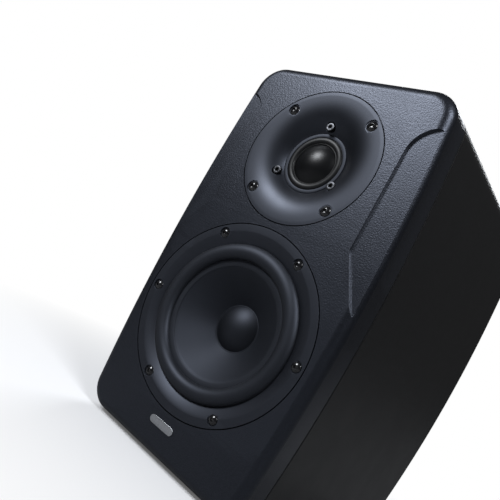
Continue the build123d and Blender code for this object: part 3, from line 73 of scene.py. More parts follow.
MM = 0.001
SHARP_ANGLE = math.radians(32)
REACH = 2 * MM
POCKET_ROUNDING = 0.3 * MM
SOCKET_ROUNDING = 0.1 * MM
PATCH_SIZE = 25 * MM
PATCH_RELIEF = 0.10 * MM
PATCH_STRENGTH = 0.04
PATCH_SPREAD = 0.04
COAT_ROUGHNESS = 0.12
SHEEN_ROUGHNESS = 0.4
PIMPLE_SPACING = 3.0
PIMPLE_SHARE = 0.16
Colour = tuple[float, float, float]
Points = list[tuple[float, float]]
Cut = tuple[tuple[float, float, float], tuple[float, float, float]]


# ---------------------------------------------------------------- finishes


class Grain(Enum):
    """Kinds of fine surface relief."""

    ORANGE_PEEL = "orange_peel"
    SATIN = "satin"
    BRUSHED = "brushed"
    WEAVE = "weave"
    POROUS = "porous"


class NodeBench:
    """Lays out and links the nodes of one material."""

    def __init__(self, name: str) -> None:
        """Start an empty material.

        Args:
            name: Name of the material.
        """
        self.material = bpy.data.materials.new(name)
        self.material.use_nodes = True
        self.tree = self.material.node_tree
        self.shader = self.tree.nodes["Principled BSDF"]

    def add(self, kind: str, **settings: object) -> bpy.types.Node:
        """Add a node.

        Args:
            kind: Blender's node type.
            **settings: Properties of the node.

        Returns:
            The new node.
        """
        node = self.tree.nodes.new(kind)
        for key, value in settings.items():
            setattr(node, key, value)
        return node

    def link(self, source: bpy.types.NodeSocket, target: bpy.types.NodeSocket) -> None:
        """Join two sockets."""
        self.tree.links.new(source, target)

    def place(self, stretch: Colour = (1.0, 1.0, 1.0)) -> bpy.types.NodeSocket:
        """Object coordinates, stretched along the axes.

        Args:
            stretch: Factor for each axis.

        Returns:
            The vector socket.
        """
        coordinates = self.add("ShaderNodeTexCoord")
        mapping = self.add("ShaderNodeMapping")
        mapping.inputs["Scale"].default_value = stretch
        self.link(coordinates.outputs["Object"], mapping.inputs["Vector"])
        return mapping.outputs["Vector"]

    def noise(
        self, size: float, detail: float = 2.0, stretch: Colour = (1.0, 1.0, 1.0)
    ) -> bpy.types.NodeSocket:
        """Noise whose features have about the given size.

        Args:
            size: Feature size in metres.
            detail: Octaves of finer noise.
            stretch: Factor for each axis.

        Returns:
            The factor socket.
        """
        noise = self.add("ShaderNodeTexNoise")
        noise.inputs["Scale"].default_value = 1.0 / size
        noise.inputs["Detail"].default_value = detail
        self.link(self.place(stretch), noise.inputs["Vector"])
        return noise.outputs["Fac"]

    def spread(
        self, source: bpy.types.NodeSocket, low: float, high: float, start: float = 0.35, stop: float = 0.65
    ) -> bpy.types.NodeSocket:
        """Map a noise factor to a range.

        Args:
            source: Factor socket.
            low: Value at the start.
            high: Value at the stop.
            start: Factor that gives the low value.
            stop: Factor that gives the high value.

        Returns:
            The mapped value's socket.
        """
        remap = self.add("ShaderNodeMapRange")
        remap.inputs["From Min"].default_value = start
        remap.inputs["From Max"].default_value = stop
        remap.inputs["To Min"].default_value = low
        remap.inputs["To Max"].default_value = high
        self.link(source, remap.inputs["Value"])
        return remap.outputs["Result"]

    def blend(self, factor: bpy.types.NodeSocket, first: Colour, second: Colour) -> bpy.types.NodeSocket:
        """Mix two colours.

        Args:
            factor: Share of the second colour.
            first: Colour at 0.
            second: Colour at 1.

        Returns:
            The colour socket.
        """
        mix = self.add("ShaderNodeMix", data_type="RGBA")
        mix.inputs["A"].default_value = (*first, 1.0)
        mix.inputs["B"].default_value = (*second, 1.0)
        self.link(factor, mix.inputs["Factor"])
        return mix.outputs["Result"]

    def bump(
        self, height: bpy.types.NodeSocket, strength: float, depth: float, under: bpy.types.Node | None = None
    ) -> bpy.types.Node:
        """Turn a height into a bump.

        Args:
            height: Height socket.
            strength: Share of the bump that shows.
            depth: Height of the relief in metres.
            under: Bump node that this one adds to.

        Returns:
            The bump node.
        """
        bump = self.add("ShaderNodeBump")
        bump.inputs["Strength"].default_value = strength
        bump.inputs["Distance"].default_value = depth
        self.link(height, bump.inputs["Height"])
        if under:
            self.link(under.outputs["Normal"], bump.inputs["Normal"])
        return bump


@dataclass(frozen=True)
class Finish:
    """One finish of the speaker."""

    name: str
    colour: Colour
    fleck: Colour
    roughness: float = 0.5
    metallic: float = 0.0
    grain: Grain = Grain.SATIN
    grain_size: float = 0.8 * MM
    relief: float = 0.05 * MM
    relief_strength: float = 0.5
    coat: float = 0.0
    sheen: float = 0.0
    specular: float = 0.5
    specular_tint: Colour = (1.0, 1.0, 1.0)
    alpha: float = 1.0
    wear: Colour | None = None

    def make(self) -> bpy.types.Material:
        """Build the material.

        Returns:
            The finished material.
        """
        bench = NodeBench(self.name)
        shader = bench.shader
        shader.inputs["Metallic"].default_value = self.metallic
        shader.inputs["Specular IOR Level"].default_value = self.specular
        shader.inputs["Specular Tint"].default_value = (*self.specular_tint, 1.0)
        shader.inputs["Coat Weight"].default_value = self.coat
        shader.inputs["Coat Roughness"].default_value = COAT_ROUGHNESS
        shader.inputs["Sheen Weight"].default_value = self.sheen
        shader.inputs["Sheen Roughness"].default_value = SHEEN_ROUGHNESS
        shader.inputs["Alpha"].default_value = self.alpha
        height = self._height(bench)
        tint = bench.spread(height, 0.0, 1.0)
        colour = bench.blend(tint, self.colour, self.fleck)
        if self.wear:
            colour = self._worn(bench, colour)
        bench.link(colour, shader.inputs["Base Color"])
        patches = bench.noise(PATCH_SIZE, 4.0)
        roughest = min(1.0, self.roughness * (1 + PATCH_SPREAD))
        rough = bench.spread(patches, self.roughness * (1 - PATCH_SPREAD), roughest)
        bench.link(rough, shader.inputs["Roughness"])
        coarse = bench.bump(patches, PATCH_STRENGTH, PATCH_RELIEF)
        fine = bench.bump(height, self.relief_strength, self.relief, coarse)
        bench.link(fine.outputs["Normal"], shader.inputs["Normal"])
        return bench.material

    def _height(self, bench: NodeBench) -> bpy.types.NodeSocket:
        """Height pattern of the grain.

        Args:
            bench: Bench of the material.

        Returns:
            The height socket.
        """
        if self.grain is Grain.BRUSHED:
            return bench.noise(self.grain_size, 3.0, (1.0, 1.0, 0.04))
        if self.grain is Grain.WEAVE:
            return self._weave(bench)
        if self.grain is Grain.POROUS:
            cells = bench.add("ShaderNodeTexVoronoi")
            cells.inputs["Scale"].default_value = 1.0 / self.grain_size
            bench.link(bench.place(), cells.inputs["Vector"])
            return cells.outputs["Distance"]
        if self.grain is Grain.ORANGE_PEEL:
            return self._pebbles(bench)
        return bench.noise(self.grain_size, 2.0)

    def _pebbles(self, bench: NodeBench) -> bpy.types.NodeSocket:
        """Fine soft texture with sparse raised pimples, as on spark-eroded moulding.

        Args:
            bench: Bench of the material.

        Returns:
            The height socket.
        """
        cells = bench.add("ShaderNodeTexVoronoi")
        cells.inputs["Scale"].default_value = 1.0 / (PIMPLE_SPACING * self.grain_size)
        bench.link(bench.place(), cells.inputs["Vector"])
        pimples = bench.spread(cells.outputs["Distance"], 1.0, 0.0, 0.05, 0.24)
        mix = bench.add("ShaderNodeMath", operation="MULTIPLY_ADD")
        mix.inputs[1].default_value = PIMPLE_SHARE
        bench.link(pimples, mix.inputs[0])
        bench.link(bench.noise(self.grain_size, 3.0), mix.inputs[2])
        return mix.outputs["Value"]

    def _weave(self, bench: NodeBench) -> bpy.types.NodeSocket:
        """Over-and-under pattern of a fine cloth.

        Args:
            bench: Bench of the material.

        Returns:
            The height socket.
        """
        waves = []
        for direction in ("X", "Z"):
            wave = bench.add("ShaderNodeTexWave", bands_direction=direction)
            wave.inputs["Scale"].default_value = 0.5 / self.grain_size
            wave.inputs["Distortion"].default_value = 0.6
            bench.link(bench.place(), wave.inputs["Vector"])
            waves.append(wave.outputs["Fac"])
        higher = bench.add("ShaderNodeMath", operation="MAXIMUM")
        bench.link(waves[0], higher.inputs[0])
        bench.link(waves[1], higher.inputs[1])
        return higher.outputs["Value"]

    def _worn(self, bench: NodeBench, colour: bpy.types.NodeSocket) -> bpy.types.NodeSocket:
        """Lighten the convex edges where handling rubs them.

        Args:
            bench: Bench of the material.
            colour: Colour socket to lighten.

        Returns:
            The new colour socket.
        """
        geometry = bench.add("ShaderNodeNewGeometry")
        edges = bench.spread(geometry.outputs["Pointiness"], 0.0, 0.7, 0.51, 0.58)
        mix = bench.add("ShaderNodeMix", data_type="RGBA")
        mix.inputs["B"].default_value = (*self.wear, 1.0)
        bench.link(edges, mix.inputs["Factor"])
        bench.link(colour, mix.inputs["A"])
        return mix.outputs["Result"]


BLUE_GLOSS = (0.74, 0.81, 1.0)

BAFFLE = Finish(
    "baffle_moulding", (0.0026, 0.0029, 0.0039), (0.0058, 0.0064, 0.0086), roughness=0.37,
    grain=Grain.ORANGE_PEEL, grain_size=0.9 * MM, relief=0.30 * MM, relief_strength=0.50,
    specular_tint=BLUE_GLOSS, wear=(0.009, 0.010, 0.013),
)
WRAP = Finish(
    "cabinet_wrap", (0.0032, 0.0032, 0.0035), (0.0048, 0.0048, 0.0053), roughness=0.48,
    grain=Grain.ORANGE_PEEL, grain_size=0.9 * MM, relief=0.06 * MM, relief_strength=0.3,
)
BOARD = Finish("raw_fibreboard", (0.26, 0.18, 0.11), (0.34, 0.25, 0.16), roughness=0.85, grain=Grain.POROUS)
RUBBER = Finish(
    "soft_rubber", (0.0030, 0.0033, 0.0041), (0.0044, 0.0048, 0.0058), roughness=0.54, grain_size=0.6 * MM,
    relief=0.02 * MM, sheen=0.02, specular_tint=BLUE_GLOSS,
)
FOAM = Finish(
    "damping_foam", (0.05, 0.05, 0.055), (0.09, 0.09, 0.1), roughness=0.95, grain=Grain.POROUS,
    grain_size=1.5 * MM, relief=0.8 * MM, relief_strength=0.9,
)
SATIN = Finish(
    "satin_moulding", (0.0030, 0.0033, 0.0043), (0.0040, 0.0044, 0.0057), roughness=0.40,
    grain_size=0.5 * MM, relief=0.012 * MM, relief_strength=0.3, specular_tint=BLUE_GLOSS,
    wear=(0.010, 0.011, 0.014),
)
# Same satin plastic as the waveguide, made rougher and more specular; its slightly lighter colour is painted
# light that brightens the ring's flat band.
SATIN_LIT_RING = Finish(
    "ring_moulding_painted_light", (0.0034, 0.0037, 0.0048), (0.0046, 0.0050, 0.0064), roughness=0.46,
    grain_size=0.5 * MM, relief=0.012 * MM, relief_strength=0.3, specular=0.56, specular_tint=BLUE_GLOSS,
    wear=(0.010, 0.011, 0.014),
)
BLACK = Finish(
    "black_moulding", (0.013, 0.013, 0.015), (0.020, 0.020, 0.022), roughness=0.40, grain_size=0.5 * MM,
    relief=0.02 * MM, wear=(0.035, 0.035, 0.038),
)
BADGE = Finish(
    "brushed_badge", (0.35, 0.36, 0.38), (0.46, 0.47, 0.49), roughness=0.34, metallic=1.0,
    grain=Grain.BRUSHED, grain_size=0.25 * MM, relief=0.01 * MM,
)
CAST = Finish(
    "cast_basket", (0.14, 0.14, 0.15), (0.19, 0.19, 0.2), roughness=0.55, metallic=1.0,
    grain=Grain.ORANGE_PEEL, relief=0.08 * MM,
)
CONE = Finish(
    "cone_film", (0.0044, 0.0049, 0.0062), (0.0056, 0.0062, 0.0078), roughness=0.56, grain_size=0.7 * MM,
    relief=0.012 * MM, relief_strength=0.3, specular_tint=BLUE_GLOSS,
)
CAP = Finish(
    "cap_film", (0.0024, 0.0026, 0.0032), (0.0034, 0.0037, 0.0045), roughness=0.50, grain_size=0.5 * MM,
    relief=0.012 * MM, relief_strength=0.3, specular=0.42, specular_tint=BLUE_GLOSS,
)
SPIDER = Finish(
    "spider_cloth", (0.42, 0.30, 0.12), (0.5, 0.38, 0.17), roughness=0.8, grain=Grain.WEAVE,
    grain_size=0.5 * MM, relief=0.1 * MM, sheen=0.2,
)
FOIL = Finish(
    "former_foil", (0.6, 0.6, 0.6), (0.7, 0.7, 0.7), roughness=0.3, metallic=1.0, grain=Grain.BRUSHED,
)
COPPER = Finish(
    "copper_winding", (0.55, 0.22, 0.09), (0.7, 0.32, 0.14), roughness=0.3, metallic=1.0,
    grain=Grain.BRUSHED, grain_size=0.3 * MM,
)
STEEL = Finish(
    "plated_steel", (0.42, 0.42, 0.43), (0.5, 0.5, 0.5), roughness=0.35, metallic=1.0, grain=Grain.BRUSHED,
    grain_size=0.4 * MM, relief=0.01 * MM,
)
FERRITE = Finish("ferrite", (0.035, 0.035, 0.038), (0.055, 0.055, 0.06), roughness=0.7, grain=Grain.POROUS)
BLACK_SCREW = Finish(
    "lacquered_screw", (0.003, 0.003, 0.004), (0.005, 0.005, 0.006), roughness=0.22, grain_size=0.4 * MM,
    relief=0.008 * MM, coat=0.35, wear=(0.016, 0.016, 0.018),
)
BRIGHT_SCREW = Finish(
    "bright_screw", (0.045, 0.046, 0.050), (0.075, 0.077, 0.083), roughness=0.38, metallic=1.0,
    grain=Grain.BRUSHED, grain_size=0.3 * MM, relief=0.01 * MM,
)
SILK = Finish(
    "dome_cloth", (0.0020, 0.0021, 0.0025), (0.0032, 0.0034, 0.0040), roughness=0.31, grain=Grain.WEAVE,
    grain_size=0.35 * MM, relief=0.015 * MM, relief_strength=0.3, specular=0.26, sheen=0.02,
)
ROLL = Finish(
    "bright_roll", (0.0030, 0.0032, 0.0038), (0.0042, 0.0045, 0.0052), roughness=0.42, grain_size=0.4 * MM,
    relief=0.008 * MM, relief_strength=0.3, specular=0.28,
)
PLATE = Finish(
    "powder_coat", (0.016, 0.016, 0.018), (0.026, 0.026, 0.029), roughness=0.5, grain=Grain.ORANGE_PEEL,
    grain_size=0.6 * MM, relief=0.05 * MM, wear=(0.05, 0.05, 0.055),
)
ANODISED = Finish(
    "black_anodised", (0.030, 0.030, 0.034), (0.045, 0.045, 0.050), roughness=0.38, metallic=1.0,
    grain=Grain.BRUSHED, grain_size=0.4 * MM, relief=0.02 * MM, wear=(0.10, 0.10, 0.11),
)
LAMINATE = Finish("board_laminate", (0.012, 0.08, 0.035), (0.018, 0.11, 0.05), roughness=0.4, coat=0.3)
GOLD = Finish(
    "plated_contact", (0.68, 0.48, 0.18), (0.78, 0.58, 0.25), roughness=0.25, metallic=1.0,
    grain=Grain.BRUSHED, grain_size=0.3 * MM, relief=0.005 * MM,
)
GLASS = Finish("fuse_glass", (0.75, 0.8, 0.8), (0.8, 0.85, 0.85), roughness=0.05, alpha=0.35)
JACKET = Finish("wire_jacket", (0.22, 0.02, 0.02), (0.28, 0.03, 0.03), roughness=0.5)
PRINT = Finish("white_print", (0.62, 0.63, 0.64), (0.70, 0.71, 0.72), roughness=0.6, grain_size=0.3 * MM)

FINISH_OF_SLOT: dict[str, Finish] = {
    "baffle_plastic": BAFFLE,
    "cabinet_board": WRAP,
    "raw_board": BOARD,
    "dark_rubber": RUBBER,
    "foam": FOAM,
    "satin_plastic": SATIN,
    "black_plastic": BLACK,
    "badge_metal": BADGE,
    "cast_metal": CAST,
    "cone_poly": CONE,
    "spider_cloth": SPIDER,
    "former_foil": FOIL,
    "copper_wire": COPPER,
    "plated_steel": STEEL,
    "ferrite": FERRITE,
    "black_screw": BLACK_SCREW,
    "silver_screw": BRIGHT_SCREW,
    "silk": SILK,
    "bright_roll": ROLL,
    "panel_metal": PLATE,
    "anodised": ANODISED,
    "board_green": LAMINATE,
    "gold_contact": GOLD,
    "fuse_glass": GLASS,
    "wire_jacket": JACKET,
}


class Paintbox:
    """Makes each finish once and lays it on pieces."""

    def __init__(self) -> None:
        """Start with no material made."""
        self.made: dict[str, bpy.types.Material] = {}

    def material(self, finish: Finish) -> bpy.types.Material:
        """The material of a finish, made at its first use."""
        if finish.name not in self.made:
            self.made[finish.name] = finish.make()
        return self.made[finish.name]

    def dress(self, piece: bpy.types.Object, finish: Finish) -> None:
        """Give a piece one finish all over."""
        piece.data.materials.clear()
        piece.data.materials.append(self.material(finish))

    def dress_frame(self) -> None:
        """Give every carried-over node the finish of its slot."""
        for entry in frame["record"]["subparts"]:
            node = frame["nodes"][entry["node"]]
            finish = FINISH_OF_SLOT[entry["material_slot"]]
            if not node.material_slots:
                node.data.materials.append(None)
            for material_slot in node.material_slots:
                material_slot.material = self.material(finish)


# ---------------------------------------------------------------- mesh work


def box_of(node: str) -> list[Vector]:
    """Lowest and highest corner of a node."""
    return [Vector(corner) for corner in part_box(node)]


def middle(node: str) -> Vector:
    """Middle of a node's box."""
    low, high = box_of(node)
    return (low + high) / 2


def front_of(node: str) -> float:
    """Foremost depth of a node."""
    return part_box(node)[0][1]


def mark_corners(bm: bmesh.types.BMesh) -> None:
    """Shade every face smooth and keep the corners sharp."""
    for face in bm.faces:
        face.smooth = True
    for edge in bm.edges:
        edge.smooth = len(edge.link_faces) != 2 or edge.calc_face_angle(0.0) < SHARP_ANGLE


def to_object(name: str, bm: bmesh.types.BMesh) -> bpy.types.Object:
    """Turn a bmesh into a linked object with smooth faces and sharp corners.

    Args:
        name: Name of the piece.
        bm: The mesh, which is freed.

    Returns:
        The new object.
    """
    mark_corners(bm)
    mesh = bpy.data.meshes.new(name)
    bm.to_mesh(mesh)
    bm.free()
    piece = bpy.data.objects.new(name, mesh)
    bpy.context.scene.collection.objects.link(piece)
    return piece


def even_shading(piece: bpy.types.Object) -> None:
    """Let the large faces of a piece set the shading of the small ones beside them."""
    weighted = piece.modifiers.new("even_shading", "WEIGHTED_NORMAL")
    weighted.keep_sharp = True
    weighted.weight = 80


def round_edges(bm: bmesh.types.BMesh, edges: list[bmesh.types.BMEdge], width: float, segments: int) -> None:
    """Round some edges to a width in a number of steps."""
    bmesh.ops.bevel(
        bm, geom=edges, offset=width, segments=segments, profile=0.5, affect="EDGES", clamp_overlap=True,
        material=-1,
    )


def soften(bm: bmesh.types.BMesh, width: float, segments: int = 2) -> None:
    """Merge doubles, face outwards and round the sharp edges.

    Args:
        bm: The mesh.
        width: Width of the rounding.
        segments: Steps of the rounding.
    """
    bmesh.ops.remove_doubles(bm, verts=bm.verts, dist=1e-7)
    bmesh.ops.recalc_face_normals(bm, faces=bm.faces)
    sharp = [edge for edge in bm.edges if edge.is_manifold and edge.calc_face_angle(0.0) > SHARP_ANGLE]
    if sharp and width > 0:
        round_edges(bm, sharp, width, segments)


def lathe(
    name: str, profile: Points, centre: Vector, rounding: float = 0.15 * MM, steps: int = 160,
    closed: bool = True,
) -> bpy.types.Object:
    """Spin a profile about a driver's axis.

    Args:
        name: Name of the piece.
        profile: Points as (radius, depth behind the front face).
        centre: Point on the axis at the front face.
        rounding: Width of the edge rounding.
        steps: Steps round the axis.
        closed: Whether the last point joins the first.

    Returns:
        The turned piece.
    """
    bm = bmesh.new()
    verts = [bm.verts.new((centre.x + radius, centre.y + depth, centre.z)) for radius, depth in profile]
    edges = [bm.edges.new(pair) for pair in zip(verts, verts[1:])]
    if closed:
        edges.append(bm.edges.new((verts[-1], verts[0])))
    bmesh.ops.spin(
        bm, geom=verts + edges, cent=centre, axis=(0, 1, 0), angle=math.tau, steps=steps, use_merge=True
    )
    soften(bm, rounding)
    return to_object(name, bm)


def prism(name: str, outline: Points, y_from: float, y_to: float) -> bpy.types.Object:
    """Extrude an outline in x and z along the depth.

    Args:
        name: Name of the piece.
        outline: Corner points as (x, z).
        y_from: Front of the prism.
        y_to: Back of the prism.

    Returns:
        The prism.
    """
    bm = bmesh.new()
    face = bm.faces.new([bm.verts.new((x, y_from, z)) for x, z in outline])
    grown = bmesh.ops.extrude_face_region(bm, geom=[face])
    moved = [item for item in grown["geom"] if isinstance(item, bmesh.types.BMVert)]
    bmesh.ops.translate(bm, verts=moved, vec=(0, y_to - y_from, 0))
    bmesh.ops.recalc_face_normals(bm, faces=bm.faces)
    return to_object(name, bm)


def round_bar(
    name: str, radius: float, x: float, z: float, y_from: float, y_to: float, steps: int = 96
) -> bpy.types.Object:
    """A round bar along the depth.

    Args:
        name: Name of the piece.
        radius: Radius of the bar.
        x: Place of its axis.
        z: Place of its axis.
        y_from: Front end.
        y_to: Back end.
        steps: Sides of the bar.

    Returns:
        The bar.
    """
    bm = bmesh.new()
    place = Matrix.Translation((x, (y_from + y_to) / 2, z)) @ Matrix.Rotation(math.pi / 2, 4, "X")
    bmesh.ops.create_cone(
        bm, cap_ends=True, segments=steps, radius1=radius, radius2=radius, depth=y_to - y_from, matrix=place
    )
    return to_object(name, bm)


def carve(
    piece: bpy.types.Object, cutters: list[bpy.types.Object], rounding: float = 0.0, segments: int = 2
) -> None:
    """Cut shapes out of a piece for good, then round the edges that the cuts leave.

    Args:
        piece: The piece to cut.
        cutters: Shapes to take away, which are removed afterwards.
        rounding: Width of the edge rounding.
        segments: Steps of the rounding.
    """
    for cutter in cutters:
        cut = piece.modifiers.new("cut", "BOOLEAN")
        cut.operation = "DIFFERENCE"
        cut.solver = "EXACT"
        cut.object = cutter
    if rounding > 0:
        bevel = piece.modifiers.new("rounding", "BEVEL")
        bevel.width = rounding
        bevel.segments = segments
        bevel.limit_method = "ANGLE"
        bevel.angle_limit = SHARP_ANGLE
    settle(piece)
    for cutter in cutters:
        bpy.data.objects.remove(cutter)


def settle(piece: bpy.types.Object) -> None:
    """Apply a piece's modifiers to its mesh."""
    bpy.context.view_layer.update()
    graph = bpy.context.evaluated_depsgraph_get()
    mesh = bpy.data.meshes.new_from_object(piece.evaluated_get(graph))
    piece.modifiers.clear()
    piece.data = mesh
    bm = bmesh.new()
    bm.from_mesh(mesh)
    mark_corners(bm)
    bm.to_mesh(mesh)
    bm.free()


def hexagon(spot: Vector, radius: float, turn: float) -> Points:
    """Corners of a hexagon as (x, z).

    Args:
        spot: Middle of the hexagon.
        radius: Distance of its corners.
        turn: Angle of the first corner.

    Returns:
        The corners.
    """
    angles = [turn + math.tau * side / 6 for side in range(6)]
    return [(spot.x + radius * math.cos(angle), spot.z + radius * math.sin(angle)) for angle in angles]


def pockets(
    name: str, radius: float, centre: Vector, places: Points, floor: float
) -> list[bpy.types.Object]:
    """Cutters for round pockets in a driver's front.

    Args:
        name: Name of the cutters.
        radius: Radius of a pocket.
        centre: Point on the driver's axis at the front face.
        places: Places about the centre as (x, z).
        floor: Depth of a pocket.

    Returns:
        The cutters.
    """
    front = centre.y - REACH
    back = centre.y + floor
    return [round_bar(name, radius, centre.x + x, centre.z + z, front, back, 48) for x, z in places]


def gather(name: str, parts: list[bpy.types.Object]) -> bpy.types.Object:
    """Join separate parts into one piece.

    Args:
        name: Name of the piece.
        parts: The parts, which are removed afterwards.

    Returns:
        The joined piece.
    """
    bm = bmesh.new()
    for part in parts:
        bm.from_mesh(part.data)
        bpy.data.objects.remove(part)
    return to_object(name, bm)


def circle_places(count: int, circle: float, first: float) -> Points:
    """Places on a circle as (x, z), counted from straight up.

    Args:
        count: How many places.
        circle: Radius of the circle.
        first: Angle of the first place in degrees.

    Returns:
        The places.
    """
    angles = [math.radians(first + index * 360 / count) for index in range(count)]
    return [(circle * math.sin(angle), circle * math.cos(angle)) for angle in angles]


def arc_points(start: tuple[float, float], stop: tuple[float, float], rise: float, steps: int) -> Points:
    """Points on a half-sine bulge between two profile points, without the ends.

    Args:
        start: First point as (radius, depth).
        stop: Last point as (radius, depth).
        rise: Height of the bulge towards the front.
        steps: Steps along the bulge.

    Returns:
        The points between the ends.
    """
    points = []
    for index in range(1, steps):
        share = index / steps
        across = (1 - math.cos(math.pi * share)) / 2
        lift = rise * math.sin(math.pi * share)
        radius = start[0] + across * (stop[0] - start[0])
        depth = start[1] + across * (stop[1] - start[1]) - lift
        points.append((radius, depth))
    return points


@dataclass
class Workshop:
    """Shared bench: finishes, and the last steps of each piece."""

    paints: Paintbox
    pieces: list[bpy.types.Object] = field(default_factory=list)

    def place(
        self, piece: bpy.types.Object, finish: Finish, slot: str, body: str, *nodes: str
    ) -> bpy.types.Object:
        """Dress a piece and fix it to its body.

        Args:
            piece: The finished mesh object.
            finish: Its finish.
            slot: Material slot of the record; not used.
            body: Body that it moves with.
            *nodes: Nodes that it stands for.

        Returns:
            The same piece.
        """
        self.paints.dress(piece, finish)
        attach(piece, body)
        if nodes:
            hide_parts(*nodes)
        self.pieces.append(piece)
        LOG.info("%s: %d faces", piece.name, len(piece.data.polygons))
        return piece


# ---------------------------------------------------------------- cabinet


@dataclass
class Cabinet:
    """Moulded front baffle and the walls behind it."""

    shop: Workshop
    corner_radius: float = 18 * MM
    inner_corner: float = 8 * MM
    front_rounding: float = 7.5 * MM
    rear_rounding: float = 2.5 * MM
    bow: float = 8 * MM
    rim: float = 10 * MM
    face_thickness: float = 16 * MM
    wall: float = 12 * MM
    relief_depth: float = 2.2 * MM
    relief_run: float = 1.4 * MM
    relief_rounding: float = 1.3 * MM
    seam_rounding: float = 0.8 * MM
    relief_inner: float = 63.3 * MM
    relief_top: float = 175 * MM
    relief_knee: float = 82 * MM
    relief_top_radius: float = 20 * MM
    relief_fall: float = 1.82
    flush_gap: float = 0.8 * MM
    woofer_seat: float = 8.3 * MM
    woofer_hole: float = 62 * MM
    tweeter_seat: float = 5 * MM
    tweeter_hole: float = 37 * MM
    seat_rounding: float = 0.35 * MM
    badge_rounding: float = 0.2 * MM

    def build(self) -> None:
        """Build the baffle, the walls and the badge."""
        self.low, self.high = box_of("front_baffle")
        self._baffle()
        self._walls()
        self._badge()

    def shell(self, inset: float, y_from: float, y_to: float) -> bmesh.types.BMesh:
        """Block with the cabinet's bowed outline.

        Args:
            inset: How far the outline is moved inwards.
            y_from: Front of the block.
            y_to: Back of the block.

        Returns:
            The block.
        """
        middle_z = (self.low.z + self.high.z) / 2
        half_height = (self.high.z - self.low.z) / 2 - inset
        half_width = (self.high.x - self.low.x) / 2 - self.bow - inset
        bm = bmesh.new()
        bmesh.ops.create_cube(bm, size=2.0)
        bmesh.ops.scale(bm, vec=(half_width, (y_to - y_from) / 2, half_height), verts=bm.verts)
        corners = [edge for edge in bm.edges if abs(edge.verts[0].co.y - edge.verts[1].co.y) > 1e-6]
        radius = max(self.corner_radius - inset, self.inner_corner)
        round_edges(bm, corners, radius, 14)
        uprights = [
            edge for edge in bm.edges
            if abs(edge.verts[0].co.z - edge.verts[1].co.z) > half_height
            and abs(edge.verts[0].co.y - edge.verts[1].co.y) < 1e-6
        ]
        bmesh.ops.subdivide_edges(bm, edges=uprights, cuts=48, use_grid_fill=True)
        full = (self.high.z - self.low.z) / 2
        for vert in bm.verts:
            bulge = self.bow * (1 - (vert.co.z / full) ** 2)
            vert.co.x += math.copysign(bulge, vert.co.x) if abs(vert.co.x) > half_width * 0.6 else 0.0
        bmesh.ops.translate(bm, verts=bm.verts, vec=(0, (y_from + y_to) / 2, middle_z))
        bmesh.ops.recalc_face_normals(bm, faces=bm.faces)
        return bm

    def _round_rim(self, bm: bmesh.types.BMesh, y: float, width: float, segments: int) -> None:
        """Round the rim of a block at one depth.

        Args:
            bm: The block.
            y: Depth of the rim.
            width: Radius of the rounding.
            segments: Steps of the rounding.
        """
        rim = [
            edge for edge in bm.edges
            if all(abs(vert.co.y - y) < 1e-6 for vert in edge.verts) and edge.calc_face_angle(0.0) > 1.0
        ]
        round_edges(bm, rim, width, segments)

    def _relief_outline(self, grow: float) -> Points:
        """Outline of the right-hand relief as (x, z), from the foot of its slanted side.

        Args:
            grow: How far every side is moved outwards.

        Returns:
            The outline's points.
        """
        base = middle("woofer_trim_ring").z
        outer = self.high.x + self.front_rounding
        inner = self.relief_inner - grow
        top = base + self.relief_top + grow
        knee = base + self.relief_knee - grow * (math.hypot(1.0, self.relief_fall) - self.relief_fall)
        turn = self.relief_top_radius + grow
        points = [(outer, knee - self.relief_fall * (outer - inner)), (inner, knee)]
        for step in range(17):
            angle = math.pi / 2 * step / 16
            points.append((inner + turn * (1 - math.cos(angle)), top - turn * (1 - math.sin(angle))))
        points.append((outer, top))
        return points

    def _relief_cutter(self, side: int) -> bpy.types.Object:
        """Cutter for the shallow relief beside the tweeter, with sloping sides.

        Args:
            side: 1 for the right, -1 for the left.

        Returns:
            The cutter.
        """
        floor = self._relief_outline(-self.relief_run / 2)
        ahead = self._relief_outline(self.relief_run * 1.5)
        y_floor = self.low.y + self.relief_depth
        y_ahead = self.low.y - self.relief_depth
        cutter = prism(f"relief_cutter_{side}", floor, y_floor, y_ahead)
        for vert in cutter.data.vertices:
            if vert.co.y < self.low.y:
                gaps = [math.hypot(vert.co.x - x, vert.co.z - z) for x, z in floor]
                vert.co.x, vert.co.z = ahead[gaps.index(min(gaps))]
            vert.co.x *= side
        if side < 0:
            cutter.data.flip_normals()
        return cutter

    def _baffle(self) -> None:
        """Front moulding with rounded edges, reliefs and driver seats."""
        bm = self.shell(0.0, self.low.y, self.high.y)
        self._round_rim(bm, self.low.y, self.front_rounding, 10)
        self._round_rim(bm, self.high.y, self.seam_rounding, 2)
        baffle = to_object("baffle_moulding", bm)
        behind = self.high.y + REACH
        ahead = self.low.y - REACH
        hollow = to_object("hollow_cutter", self.shell(self.rim, self.low.y + self.face_thickness, behind))
        carve(baffle, [self._relief_cutter(1), self._relief_cutter(-1)], self.relief_rounding, 4)
        cutters = [hollow]
        for node, seat, hole, sides in (
            ("woofer_trim_ring", self.woofer_seat, self.woofer_hole, 128),
            ("tweeter_waveguide", self.tweeter_seat, self.tweeter_hole, 96),
        ):
            low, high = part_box(node)
            radius = (high[0] - low[0]) / 2 + self.flush_gap
            spot = middle(node)
            cutters += [
                round_bar("seat_cutter", radius, spot.x, spot.z, ahead, self.low.y + seat, 160),
                round_bar("hole_cutter", hole, spot.x, spot.z, ahead, behind, sides),
            ]
        carve(baffle, cutters, self.seat_rounding, 2)
        even_shading(baffle)
        self.shop.place(baffle, BAFFLE, "baffle_plastic", "cabinet", "front_baffle")

